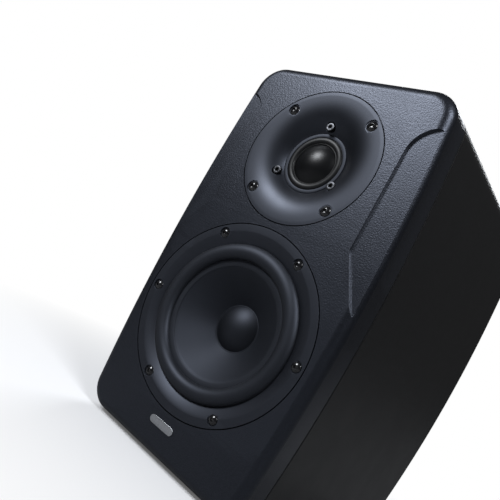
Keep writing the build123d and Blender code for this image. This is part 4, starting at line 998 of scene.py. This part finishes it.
    def _walls(self) -> None:
        """Side, top and bottom panels cut from one sleeve."""
        low, high = box_of("left_side_panel")
        split = -high.x
        between = [((split, 0, 0), (1, 0, 0)), ((-split, 0, 0), (-1, 0, 0))]
        half = (0, 0, (self.low.z + self.high.z) / 2)
        cuts = {
            "left_side_panel": [((-split, 0, 0), (1, 0, 0))],
            "right_side_panel": [((split, 0, 0), (-1, 0, 0))],
            "top_panel": [*between, (half, (0, 0, -1))],
            "bottom_panel": [*between, (half, (0, 0, 1))],
        }
        for node, planes in cuts.items():
            bm = self.shell(0.0, low.y, high.y)
            self._round_rim(bm, high.y, self.rear_rounding, 4)
            self._round_rim(bm, low.y, self.seam_rounding, 2)
            wall = to_object(node + "_wrap", bm)
            bore = self.shell(self.wall, low.y - REACH, high.y + REACH)
            hollow = to_object("sleeve_cutter", bore)
            carve(wall, [hollow])
            self._keep_part(wall, planes)
            even_shading(wall)
            self.shop.place(wall, WRAP, "cabinet_board", "cabinet", node)

    def _keep_part(self, wall: bpy.types.Object, planes: list[Cut]) -> None:
        """Cut a sleeve down to one panel and close the cut faces.

        Args:
            wall: The sleeve.
            planes: Cuts as (point, direction of the part that goes).
        """
        bm = bmesh.new()
        bm.from_mesh(wall.data)
        for point, direction in planes:
            geometry = list(bm.verts) + list(bm.edges) + list(bm.faces)
            cut = bmesh.ops.bisect_plane(
                bm, geom=geometry, plane_co=point, plane_no=direction, clear_outer=True, dist=1e-7
            )
            rims = [item for item in cut["geom_cut"] if isinstance(item, bmesh.types.BMEdge)]
            bmesh.ops.holes_fill(bm, edges=rims, sides=0)
        bmesh.ops.recalc_face_normals(bm, faces=bm.faces)
        mark_corners(bm)
        bm.to_mesh(wall.data)
        bm.free()

    def _badge(self) -> None:
        """Small blank badge with rounded ends."""
        low, high = box_of("front_badge")
        radius = (high.z - low.z) / 2
        reach = (high.x - low.x) / 2 - radius
        centre_z = (low.z + high.z) / 2
        outline = []
        for side, start in ((1, -90), (-1, 90)):
            for step in range(13):
                angle = math.radians(start + step * 15)
                x = side * reach + radius * math.cos(angle)
                outline.append((x, centre_z + radius * math.sin(angle)))
        badge = prism("blank_badge", outline, low.y, high.y)
        carve(badge, [], self.badge_rounding, 3)
        self.shop.place(badge, BADGE, "badge_metal", "cabinet", "front_badge")


# ---------------------------------------------------------------- drivers


@dataclass
class Woofer:
    """Five-inch driver: ring, surround, cone, cap and screws."""

    shop: Workshop
    rim_radius: float = 75 * MM
    flat_inner: float = 69.8 * MM
    opening: float = 60.5 * MM
    slope_depth: float = 3.5 * MM
    slope_power: float = 1.3
    ring_thickness: float = 4.5 * MM
    roll_inner: float = 47.8 * MM
    roll_height: float = 5.2 * MM
    sheet: float = 0.8 * MM
    land: float = 4.5 * MM
    cone_land_inner: float = 43 * MM
    clamped: float = 4.5 * MM
    lip_gap: float = 0.1 * MM
    lip_taper: float = 1.1 * MM
    lip_drop: float = 0.5 * MM
    cone_slope: float = 0.8
    cone_thickness: float = 1.2 * MM
    cone_rounding: float = 0.1 * MM
    neck_radius: float = 12.8 * MM
    cap_radius: float = 18 * MM
    cap_height: float = 6.2 * MM
    cap_thickness: float = 0.7 * MM
    bead_width: float = 0.5 * MM
    bead_height: float = 0.35 * MM
    bead_rise: float = 0.1 * MM
    screw_circle: float = 69.1 * MM
    screw_head: float = 3.75 * MM
    screw_sink: float = 0.9 * MM
    screw_clearance: float = 0.7 * MM

    def build(self) -> None:
        """Build every visible piece of the woofer."""
        centre = middle("woofer_trim_ring")
        self.centre = Vector((centre.x, front_of("front_baffle"), centre.z))
        self.screw_places = circle_places(6, self.screw_circle, 30)
        self._ring()
        self._surround()
        self._cone()
        self._cap()
        screws = ScrewSet(self.shop, self.screw_head, self.screw_sink)
        screws.build("woofer_screw_heads", self.screw_places, self.centre, "woofer_screws")

    def _ring(self) -> None:
        """Satin ring that slopes down to the surround, with pockets for the screws."""
        slope = []
        for step in range(1, 8):
            share = step / 8
            radius = self.flat_inner + share * (self.opening - self.flat_inner)
            slope.append((radius, self.slope_depth * share**self.slope_power))
        profile = [
            (self.rim_radius, self.ring_thickness), (self.rim_radius, 0.0), (self.flat_inner, 0.0), *slope,
            (self.opening, self.slope_depth), (self.opening, self.ring_thickness),
        ]
        ring = lathe("woofer_ring", profile, self.centre, 0.0)
        radius = self.screw_head + self.screw_clearance
        cutters = pockets("pocket", radius, self.centre, self.screw_places, self.screw_sink)
        carve(ring, cutters, POCKET_ROUNDING, 3)
        even_shading(ring)
        # The ring's finish has a lighter colour than the waveguide's: painted light on the ring's flat band.
        self.shop.place(ring, SATIN_LIT_RING, "satin_plastic", "cabinet", "woofer_trim_ring")

    def _surround(self) -> None:
        """Half-roll surround that bends with the stroke."""
        front = self.land
        back = self.land + self.sheet
        outer = (self.opening, front)
        inner = (self.roll_inner, front)
        lip = self.cone_land_inner + self.lip_gap
        under_outer = (self.opening - self.sheet, back)
        under_inner = (self.roll_inner + self.sheet, back)
        profile = [
            (self.opening + self.clamped, front), outer,
            *arc_points(outer, inner, self.roll_height, 24), inner,
            (lip + self.lip_taper, front), (lip, front + self.lip_drop), (lip, back), under_inner,
            *arc_points(under_inner, under_outer, self.roll_height, 24), under_outer,
            (self.opening + self.clamped, back),
        ]
        surround = lathe("woofer_surround_roll", profile, self.centre, 0.0, 160)
        self.shop.paints.dress(surround, RUBBER)
        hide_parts("woofer_surround")
        blend_round(surround, "woofer_piston", self.centre, self.opening, self.roll_inner)

    def _cone(self) -> None:
        """Straight cone with a flat land at its rim."""
        rim_depth = self.land + self.sheet
        neck_depth = rim_depth + self.cone_slope * (self.cone_land_inner - self.neck_radius)
        front = []
        for step in range(17):
            share = step / 16
            radius = self.cone_land_inner + share * (self.neck_radius - self.cone_land_inner)
            front.append((radius, rim_depth + share * (neck_depth - rim_depth)))
        back = [(radius, depth + self.cone_thickness) for radius, depth in reversed(front)]
        profile = [
            (self.roll_inner, rim_depth), *front, *back, (self.roll_inner, rim_depth + self.cone_thickness)
        ]
        cone = lathe("woofer_cone_dish", profile, self.centre, self.cone_rounding)
        self.shop.place(cone, CONE, "cone_poly", "woofer_piston", "woofer_cone")

    def _cap(self) -> None:
        """Domed dust cap with a thin glue bead round it."""
        rim_depth = self.land + self.sheet + self.cone_slope * (self.cone_land_inner - self.cap_radius)
        dome = dome_profile(self.cap_radius, rim_depth, self.cap_height, self.cap_thickness)
        cap = lathe("woofer_cap_dome", dome, self.centre, 0.0, 128, closed=False)
        self.shop.place(cap, CAP, "cone_poly", "woofer_piston", "woofer_dust_cap")
        bead = [
            (
                self.cap_radius + self.bead_width * math.cos(angle),
                rim_depth - self.bead_rise + self.bead_height * math.sin(angle),
            )
            for angle in (math.tau * step / 10 for step in range(10))
        ]
        ring = lathe("woofer_cap_bead", bead, self.centre, 0.0, 128)
        self.shop.place(ring, RUBBER, "dark_rubber", "woofer_piston")


def dome_arc(radius: float, rim_depth: float, height: float, inset: float = 0.0, steps: int = 24) -> Points:
    """Arc of a dome from its pole to its rim.

    Args:
        radius: Radius of the rim.
        rim_depth: Depth of the rim.
        height: Height of the dome.
        inset: How far the arc lies under the dome's face.
        steps: Steps along the arc.

    Returns:
        The arc's points.
    """
    sphere = (radius**2 + height**2) / (2 * height)
    half_angle = math.asin(radius / sphere)
    centre = rim_depth - height + sphere
    angles = [half_angle * step / steps for step in range(steps + 1)]
    inner = sphere - inset
    return [(inner * math.sin(angle), centre - inner * math.cos(angle)) for angle in angles]


def dome_profile(radius: float, rim_depth: float, height: float, thickness: float) -> Points:
    """Open profile of a domed cap, from the pole on its front to the pole on its back."""
    back = dome_arc(radius, rim_depth, height, thickness)
    return dome_arc(radius, rim_depth, height) + back[::-1]


def blend_round(
    piece: bpy.types.Object, body: str, centre: Vector, outer: float, inner: float
) -> None:
    """Let a ring follow the cabinet at its rim and a moving body at its inner edge.

    Args:
        piece: The ring.
        body: The moving body.
        centre: Point on the ring's axis.
        outer: Radius that stays with the cabinet.
        inner: Radius that moves with the body.
    """
    start = (centre.x + outer, centre.y, centre.z)
    end = (centre.x + inner, centre.y, centre.z)
    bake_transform(piece, "cabinet", body, start, end)
    weights = piece.data.attributes["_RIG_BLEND"]
    for vert in piece.data.vertices:
        radius = math.hypot(vert.co.x - centre.x, vert.co.z - centre.z)
        share = min(1.0, max(0.0, (outer - radius) / (outer - inner)))
        weights.data[vert.index].value = share * share * (3 - 2 * share)
    LOG.info("%s: %d faces, bends with %s", piece.name, len(piece.data.polygons), body)


@dataclass
class ScrewSet:
    """Pan-head screws with hexagon sockets."""

    shop: Workshop
    head: float
    sink: float
    shank: float = 2.0 * MM
    length: float = 14 * MM
    seat: float = 0.05 * MM
    rounding: float = 0.12 * MM
    dome_share: float = 0.45
    socket_share: float = 0.42
    floor_share: float = 0.25
    first_turn: float = 0.4
    turn_step: float = 1.1

    def build(self, name: str, places: Points, centre: Vector, node: str) -> None:
        """Build a set of equal screws as one piece.

        Args:
            name: Name of the piece.
            places: Places about the centre as (x, z).
            centre: Point at the front face.
            node: Node that the screws stand for.
        """
        parts = []
        for index, (x, z) in enumerate(places):
            spot = Vector((centre.x + x, centre.y + self.sink, centre.z + z))
            parts.append(self._one(f"{name}_{index}", spot, self.first_turn + index * self.turn_step))
        screws = gather(name, parts)
        self.shop.place(screws, BLACK_SCREW, "black_screw", "cabinet", node)

    def _one(self, name: str, spot: Vector, turn: float) -> bpy.types.Object:
        """One screw.

        Args:
            name: Name of the screw.
            spot: Middle of the head's underside.
            turn: Angle of the socket.

        Returns:
            The screw.
        """
        height = self.head * self.dome_share
        dome = dome_arc(self.head, 0.0, height, steps=12)
        profile = [
            *dome, (self.head, self.seat), (self.shank, self.seat), (self.shank, self.length),
            (0.0, self.length),
        ]
        screw = lathe(name, profile, spot, self.rounding, 48, closed=False)
        outline = hexagon(spot, self.head * self.socket_share, turn)
        socket = prism("socket", outline, spot.y - 2 * height, spot.y - height * self.floor_share)
        carve(screw, [socket], SOCKET_ROUNDING, 2)
        return screw


@dataclass
class Tweeter:
    """Dome tweeter in a round waveguide."""

    shop: Workshop
    radius: float = 52.5 * MM
    flat_inner: float = 50.5 * MM
    dish_slope: float = 1.6 * MM
    depth: float = 9.7 * MM
    throat: float = 23.8 * MM
    motor_radius: float = 34 * MM
    edge: float = 5 * MM
    foil: float = 0.3 * MM
    land_outer: float = 22.8 * MM
    roll_outer: float = 21 * MM
    roll_height: float = 1.3 * MM
    dome_radius: float = 16.4 * MM
    dome_height: float = 5.4 * MM
    seat: float = 0.5 * MM
    clamp_clearance: float = 0.2 * MM
    clamp_height: float = 0.45 * MM
    clamp_rounding: float = 0.12 * MM
    screw_circle: float = 46.5 * MM
    screw_head: float = 4.0 * MM
    screw_shank: float = 1.9 * MM
    screw_sink: float = 0.9 * MM
    screw_clearance: float = 0.7 * MM
    motor_circle: float = 27.7 * MM
    motor_head: float = 3.25 * MM
    motor_head_height: float = 3.4 * MM
    motor_head_front: float = 4.6 * MM
    motor_shank: float = 1.6 * MM
    motor_length: float = 10.4 * MM
    motor_rounding: float = 0.35 * MM
    motor_turn: float = 0.3
    socket_share: float = 0.5
    socket_depth: float = 0.6
    pocket_radius: float = 3.9 * MM

    def build(self) -> None:
        """Build every visible piece of the tweeter."""
        centre = middle("tweeter_waveguide")
        self.centre = Vector((centre.x, front_of("front_baffle"), centre.z))
        self.screw_places = circle_places(4, self.screw_circle, 45)
        self.motor_places = circle_places(3, self.motor_circle, 0)
        self._waveguide()
        self._surround()
        self._clamp()
        self._dome()
        screws = ScrewSet(self.shop, self.screw_head, self.screw_sink, self.screw_shank)
        screws.build("tweeter_screw_heads", self.screw_places, self.centre, "tweeter_screws")
        self._motor_screws()

    def _waveguide(self) -> None:
        """Dish that steepens smoothly into its throat, with pockets for both sets of screws."""
        dish = []
        for step in range(1, 32):
            share = step / 32
            radius = self.flat_inner + share * (self.throat - self.flat_inner)
            dish.append((radius, self.dish_slope * share + (self.depth - self.dish_slope) * share**3))
        back = self.depth + self.foil
        profile = [
            (self.radius, self.edge), (self.radius, 0.0), (self.flat_inner, 0.0), *dish,
            (self.throat, self.depth), (self.throat, back), (self.motor_radius, back),
            (self.motor_radius, self.edge),
        ]
        guide = lathe("tweeter_dish", profile, self.centre, 0.0)
        radius = self.screw_head + self.screw_clearance
        floor = self.motor_head_front + self.motor_head_height
        cutters = [
            *pockets("pocket", radius, self.centre, self.screw_places, self.screw_sink),
            *pockets("bore", self.pocket_radius, self.centre, self.motor_places, floor),
        ]
        carve(guide, cutters, POCKET_ROUNDING, 3)
        even_shading(guide)
        self.shop.place(guide, SATIN, "satin_plastic", "cabinet", "tweeter_waveguide")

    def _surround(self) -> None:
        """Bright half roll round the dome."""
        front = self.depth
        back = self.depth + self.foil
        outer = (self.roll_outer, front)
        inner = (self.dome_radius, front)
        under_outer = (self.roll_outer - self.foil, back)
        under_inner = (self.dome_radius + self.foil, back)
        profile = [
            (self.land_outer, front), outer, *arc_points(outer, inner, self.roll_height, 16), inner,
            (self.dome_radius - self.seat, front), (self.dome_radius - self.seat, back), under_inner,
            *arc_points(under_inner, under_outer, self.roll_height, 16), under_outer,
            (self.land_outer, back),
        ]
        roll = lathe("tweeter_roll", profile, self.centre, 0.0, 128)
        self.shop.paints.dress(roll, ROLL)
        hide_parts("tweeter_surround")
        blend_round(roll, "tweeter_diaphragm", self.centre, self.roll_outer, self.dome_radius)

    def _clamp(self) -> None:
        """Thin black ring that holds the diaphragm's rim down in the throat."""
        inner = self.roll_outer + self.clamp_clearance
        outer = self.throat - self.clamp_clearance / 2
        front = self.depth - self.clamp_height
        profile = [(inner, front), (outer, front), (outer, self.depth), (inner, self.depth)]
        ring = lathe("tweeter_clamp_ring", profile, self.centre, self.clamp_rounding, 128)
        self.shop.place(ring, RUBBER, "dark_rubber", "cabinet")

    def _dome(self) -> None:
        """Coated cloth dome."""
        rim = self.depth + 2 * self.foil
        profile = dome_profile(self.dome_radius - self.seat, rim, self.dome_height, self.foil)
        dome = lathe("tweeter_cloth_dome", profile, self.centre, 0.0, 128, closed=False)
        self.shop.place(dome, SILK, "silk", "tweeter_diaphragm", "tweeter_dome")

    def _motor_screws(self) -> None:
        """Bright socket-head screws down in their counterbores."""
        parts = []
        for index, (x, z) in enumerate(self.motor_places):
            spot = Vector((self.centre.x + x, self.centre.y + self.motor_head_front, self.centre.z + z))
            profile = [
                (0.0, 0.0), (self.motor_head, 0.0), (self.motor_head, self.motor_head_height),
                (self.motor_shank, self.motor_head_height), (self.motor_shank, self.motor_length),
                (0.0, self.motor_length),
            ]
            screw = lathe(f"motor_screw_{index}", profile, spot, self.motor_rounding, 48, closed=False)
            outline = hexagon(spot, self.motor_head * self.socket_share, self.motor_turn + index)
            floor = spot.y + self.motor_head_height * self.socket_depth
            socket = prism("socket", outline, spot.y - 1 * MM, floor)
            carve(screw, [socket], SOCKET_ROUNDING, 2)
            parts.append(screw)
        screws = gather("motor_screw_heads", parts)
        self.shop.place(screws, BRIGHT_SCREW, "silver_screw", "cabinet", "tweeter_motor_screws")


# ---------------------------------------------------------------- rear


KNOB_BODIES = {
    "volume_knob": "volume_control",
    "treble_trim_knob": "treble_control",
    "bass_trim_knob": "bass_control",
}


@dataclass
class Rear:
    """Flared port, printed marks and knob pointers on the back."""

    shop: Workshop
    bore: float = 19 * MM
    port_wall: float = 2.5 * MM
    flare: float = 6 * MM
    ink: float = 0.06 * MM
    stroke: float = 0.45 * MM
    sweep: float = 150.0
    margin: float = 2 * MM
    flange_rounding: float = 0.5 * MM
    long_tick: float = 2 * MM
    short_tick: float = 1.6 * MM
    on_mark: float = 3 * MM
    off_mark: float = 1.4 * MM
    off_stroke: float = 0.4 * MM
    inlay_depth: float = 0.5 * MM
    pointer_share: float = 0.6

    def build(self) -> None:
        """Build the port, the print and the pointers."""
        self.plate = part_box("amp_panel")[1][1]
        self._port()
        self._print()
        for node, body in KNOB_BODIES.items():
            self._pointer(node, body)

    def _port(self) -> None:
        """Port tube with a trumpet mouth and a soft-edged flange."""
        low, high = box_of("port_tube")
        flange = (high.x - low.x) / 2
        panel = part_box("rear_panel")[1][1]
        turns = [math.pi / 2 * step / 12 for step in range(13)]
        mouth = [
            (self.bore + self.flare * (1 - math.cos(turn)), high.y - self.flare * (1 - math.sin(turn)))
            for turn in turns
        ]
        outside = self.bore + self.port_wall
        profile = [
            (self.bore, low.y), *mouth, (flange, high.y), (flange, panel), (outside, panel), (outside, low.y),
        ]
        axis = Vector(((low.x + high.x) / 2, 0.0, (low.z + high.z) / 2))
        port = lathe("flared_port", profile, axis, self.flange_rounding, 128)
        self.shop.place(port, BLACK, "black_plastic", "cabinet", "port_tube")

    def _bar(self, x: float, z: float, length: float, turn: float, y: float) -> bpy.types.Object:
        """One printed stroke.

        Args:
            x: Middle of the stroke.
            z: Middle of the stroke.
            length: Length of the stroke.
            turn: Angle from straight up in degrees.
            y: Surface that it is printed on.

        Returns:
            The stroke.
        """
        along = Vector((math.sin(math.radians(turn)), math.cos(math.radians(turn)))) * length / 2
        across = Vector((along.y, -along.x)).normalized() * self.stroke / 2
        corners = [along + across, along - across, -along - across, -along + across]
        return prism("stroke", [(x + corner.x, z + corner.y) for corner in corners], y, y + self.ink)

    def _scale(self, node: str, count: int, length: float) -> list[bpy.types.Object]:
        """Ticks round a knob.

        Args:
            node: The knob.
            count: How many ticks.
            length: Length of a tick.

        Returns:
            The ticks.
        """
        low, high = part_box(node)
        centre = middle(node)
        circle = (high[0] - low[0]) / 2 + self.margin
        ticks = []
        for index in range(count):
            turn = self.sweep * (2 * index / (count - 1) - 1)
            reach = circle + (length if turn == 0 or abs(turn) == self.sweep else length * 0.6) / 2
            x = centre.x + reach * math.sin(math.radians(turn))
            z = centre.z + reach * math.cos(math.radians(turn))
            ticks.append(self._bar(x, z, 2 * (reach - circle), turn, self.plate))
        return ticks

    def _print(self) -> None:
        """Ticks, dividing lines and on and off marks printed on the plate."""
        strokes = self._scale("volume_knob", 11, self.long_tick)
        for node in ("treble_trim_knob", "bass_trim_knob"):
            strokes += self._scale(node, 5, self.short_tick)
        socket, jack, switch = (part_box(node) for node in ("xlr_jack", "phono_jack", "power_switch_body"))
        across = middle("volume_knob").x
        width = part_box("bass_trim_knob")[1][0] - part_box("treble_trim_knob")[0][0]
        for z in (
            (socket[1][2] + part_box("treble_trim_knob")[0][2]) / 2,
            (jack[0][2] + switch[1][2]) / 2,
        ):
            strokes.append(self._bar(across, z, width, 90, self.plate))
        rocker = middle("power_rocker")
        beside = switch[1][0] + 2 * self.margin
        strokes.append(self._bar(beside, rocker.z + 2 * self.margin, self.on_mark, 0, self.plate))
        inside = self.off_mark - self.off_stroke
        top = self.plate + self.ink
        ring = [(self.off_mark, self.plate), (self.off_mark, top), (inside, top), (inside, self.plate)]
        strokes.append(lathe("off_mark", ring, Vector((beside, 0.0, rocker.z - 2 * self.margin)), 0.0, 32))
        self.shop.place(gather("plate_print", strokes), PRINT, "badge_metal", "cabinet")

    def _pointer(self, node: str, body: str) -> None:
        """White inlay in a knob's pointer slot.

        Args:
            node: The knob.
            body: Body that the knob turns with.
        """
        low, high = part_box(node)
        reach = self.pointer_share * (high[0] - low[0]) / 2
        centre = middle(node)
        inlay = self._bar(centre.x, centre.z + reach, reach, 0, high[1] - self.inlay_depth)
        inlay.name = node.replace("knob", "pointer")
        self.shop.place(inlay, PRINT, "badge_metal", body)


# ---------------------------------------------------------------- studio


@dataclass
class Studio:
    """Floor, lights and camera."""

    heading: float = 43.93
    roll: float = 28.86
    sensor: float = 36.0
    focal_length: float = 40.5936
    shift_x: float = 0.17988
    shift_y: float = 0.01334
    aside: float = 0.23837
    ahead: float = 0.33272
    above_woofer: float = 0.01985
    floor_colour: Colour = (0.74, 0.74, 0.75)
    bounce: float = 0.3
    fade_from: float = 0.13
    fade_to: float = 0.40
    near_share: float = 0.10
    floor_size: float = 6.0
    floor_roughness: float = 0.6
    sky_glow: float = 0.06
    light_colour: Colour = (0.93, 0.96, 1.0)

    def build(self) -> None:
        """Set up the floor, the lights and the camera."""
        self._view()
        self._floor()
        self._sky()
        self._lights()

    def _view(self) -> None:
        """Camera to the right of the front, leaning to one side."""
        scene = bpy.context.scene
        scene.view_settings.view_transform = "Standard"
        lens = bpy.data.cameras.new("camera")
        camera = bpy.data.objects.new("camera", lens)
        scene.collection.objects.link(camera)
        lens.sensor_width = self.sensor
        lens.lens = self.focal_length
        lens.shift_x = self.shift_x
        lens.shift_y = self.shift_y
        lens.clip_start = 0.01
        woofer = middle("woofer_trim_ring")
        place = Vector((self.aside, front_of("front_baffle") - self.ahead, woofer.z + self.above_woofer))
        turn = (
            Matrix.Rotation(math.radians(self.heading), 4, "Z")
            @ Matrix.Rotation(math.pi / 2, 4, "X")
            @ Matrix.Rotation(math.radians(self.roll), 4, "Z")
        )
        camera.matrix_world = Matrix.Translation(place) @ turn
        scene.camera = camera

    def _floor(self) -> None:
        """Large pale floor."""
        bm = bmesh.new()
        bmesh.ops.create_grid(bm, x_segments=2, y_segments=2, size=self.floor_size)
        floor = to_object("floor", bm)
        bench = NodeBench("floor")
        bench.shader.inputs["Roughness"].default_value = self.floor_roughness
        ray = bench.add("ShaderNodeLightPath")
        dim = tuple(self.bounce * channel for channel in self.floor_colour)
        tone = bench.blend(ray.outputs["Is Camera Ray"], dim, self.floor_colour)
        bench.link(tone, bench.shader.inputs["Base Color"])
        self._fade(bench)
        floor.data.materials.append(bench.material)

    def _fade(self, bench: NodeBench) -> None:
        """Let the floor run out into the white surroundings.

        Args:
            bench: Bench of the floor's material.
        """
        away = bench.add("ShaderNodeVectorMath", operation="LENGTH")
        bench.link(bench.place(), away.inputs[0])
        share = bench.spread(away.outputs["Value"], self.near_share, 1.0, self.fade_from, self.fade_to)
        ray = bench.add("ShaderNodeLightPath")
        seen = bench.add("ShaderNodeMath", operation="MULTIPLY")
        bench.link(share, seen.inputs[0])
        bench.link(ray.outputs["Is Camera Ray"], seen.inputs[1])
        white = bench.add("ShaderNodeEmission")
        mix = bench.add("ShaderNodeMixShader")
        bench.link(seen.outputs["Value"], mix.inputs["Fac"])
        bench.link(bench.shader.outputs["BSDF"], mix.inputs[1])
        bench.link(white.outputs["Emission"], mix.inputs[2])
        bench.link(mix.outputs["Shader"], bench.tree.nodes["Material Output"].inputs["Surface"])

    def _sky(self) -> None:
        """White surroundings, dimmer for the light that they cast."""
        world = bpy.data.worlds.new("studio")
        world.use_nodes = True
        tree = world.node_tree
        background = tree.nodes["Background"]
        background.inputs["Color"].default_value = (1.0, 1.0, 1.0, 1.0)
        background.inputs["Strength"].default_value = self.sky_glow
        plain = tree.nodes.new("ShaderNodeBackground")
        plain.inputs["Color"].default_value = (1.0, 1.0, 1.0, 1.0)
        plain.inputs["Strength"].default_value = 1.0
        ray = tree.nodes.new("ShaderNodeLightPath")
        mix = tree.nodes.new("ShaderNodeMixShader")
        tree.links.new(ray.outputs["Is Camera Ray"], mix.inputs["Fac"])
        tree.links.new(background.outputs["Background"], mix.inputs[1])
        tree.links.new(plain.outputs["Background"], mix.inputs[2])
        tree.links.new(mix.outputs["Shader"], tree.nodes["World Output"].inputs["Surface"])
        bpy.context.scene.world = world

    def _lights(self) -> None:
        """Soft key from the front left, a light for the slanted edges, and a fill for the back."""
        self._area("key", (-0.52, -0.97, 0.90), 0.45, 14.0)
        self._area("edge", (0.70, -0.48, 0.87), 0.40, 9.0)
        self._area("back", (-0.55, 1.45, 0.95), 0.90, 26.0)

    def _area(self, name: str, place: tuple[float, float, float], size: float, power: float) -> None:
        """Soft light aimed at the speaker.

        Args:
            name: Name of the light.
            place: Where it stands.
            size: Width of the light.
            power: Power in watts.
        """
        light = bpy.data.lights.new(name, "AREA")
        light.shape = "DISK"
        light.size = size
        light.energy = power
        light.color = self.light_colour
        lamp = bpy.data.objects.new(name, light)
        bpy.context.scene.collection.objects.link(lamp)
        aim = middle("front_baffle") - Vector(place)
        lamp.matrix_world = Matrix.Translation(place) @ aim.to_track_quat("-Z", "Y").to_matrix().to_4x4()


def main() -> None:
    """Build the speaker's looks in order."""
    logging.basicConfig(level=logging.INFO, format="%(message)s")
    paints = Paintbox()
    paints.dress_frame()
    shop = Workshop(paints)
    Studio().build()
    Cabinet(shop).build()
    Woofer(shop).build()
    Tweeter(shop).build()
    Rear(shop).build()


if __name__ == "__main__":
    main()
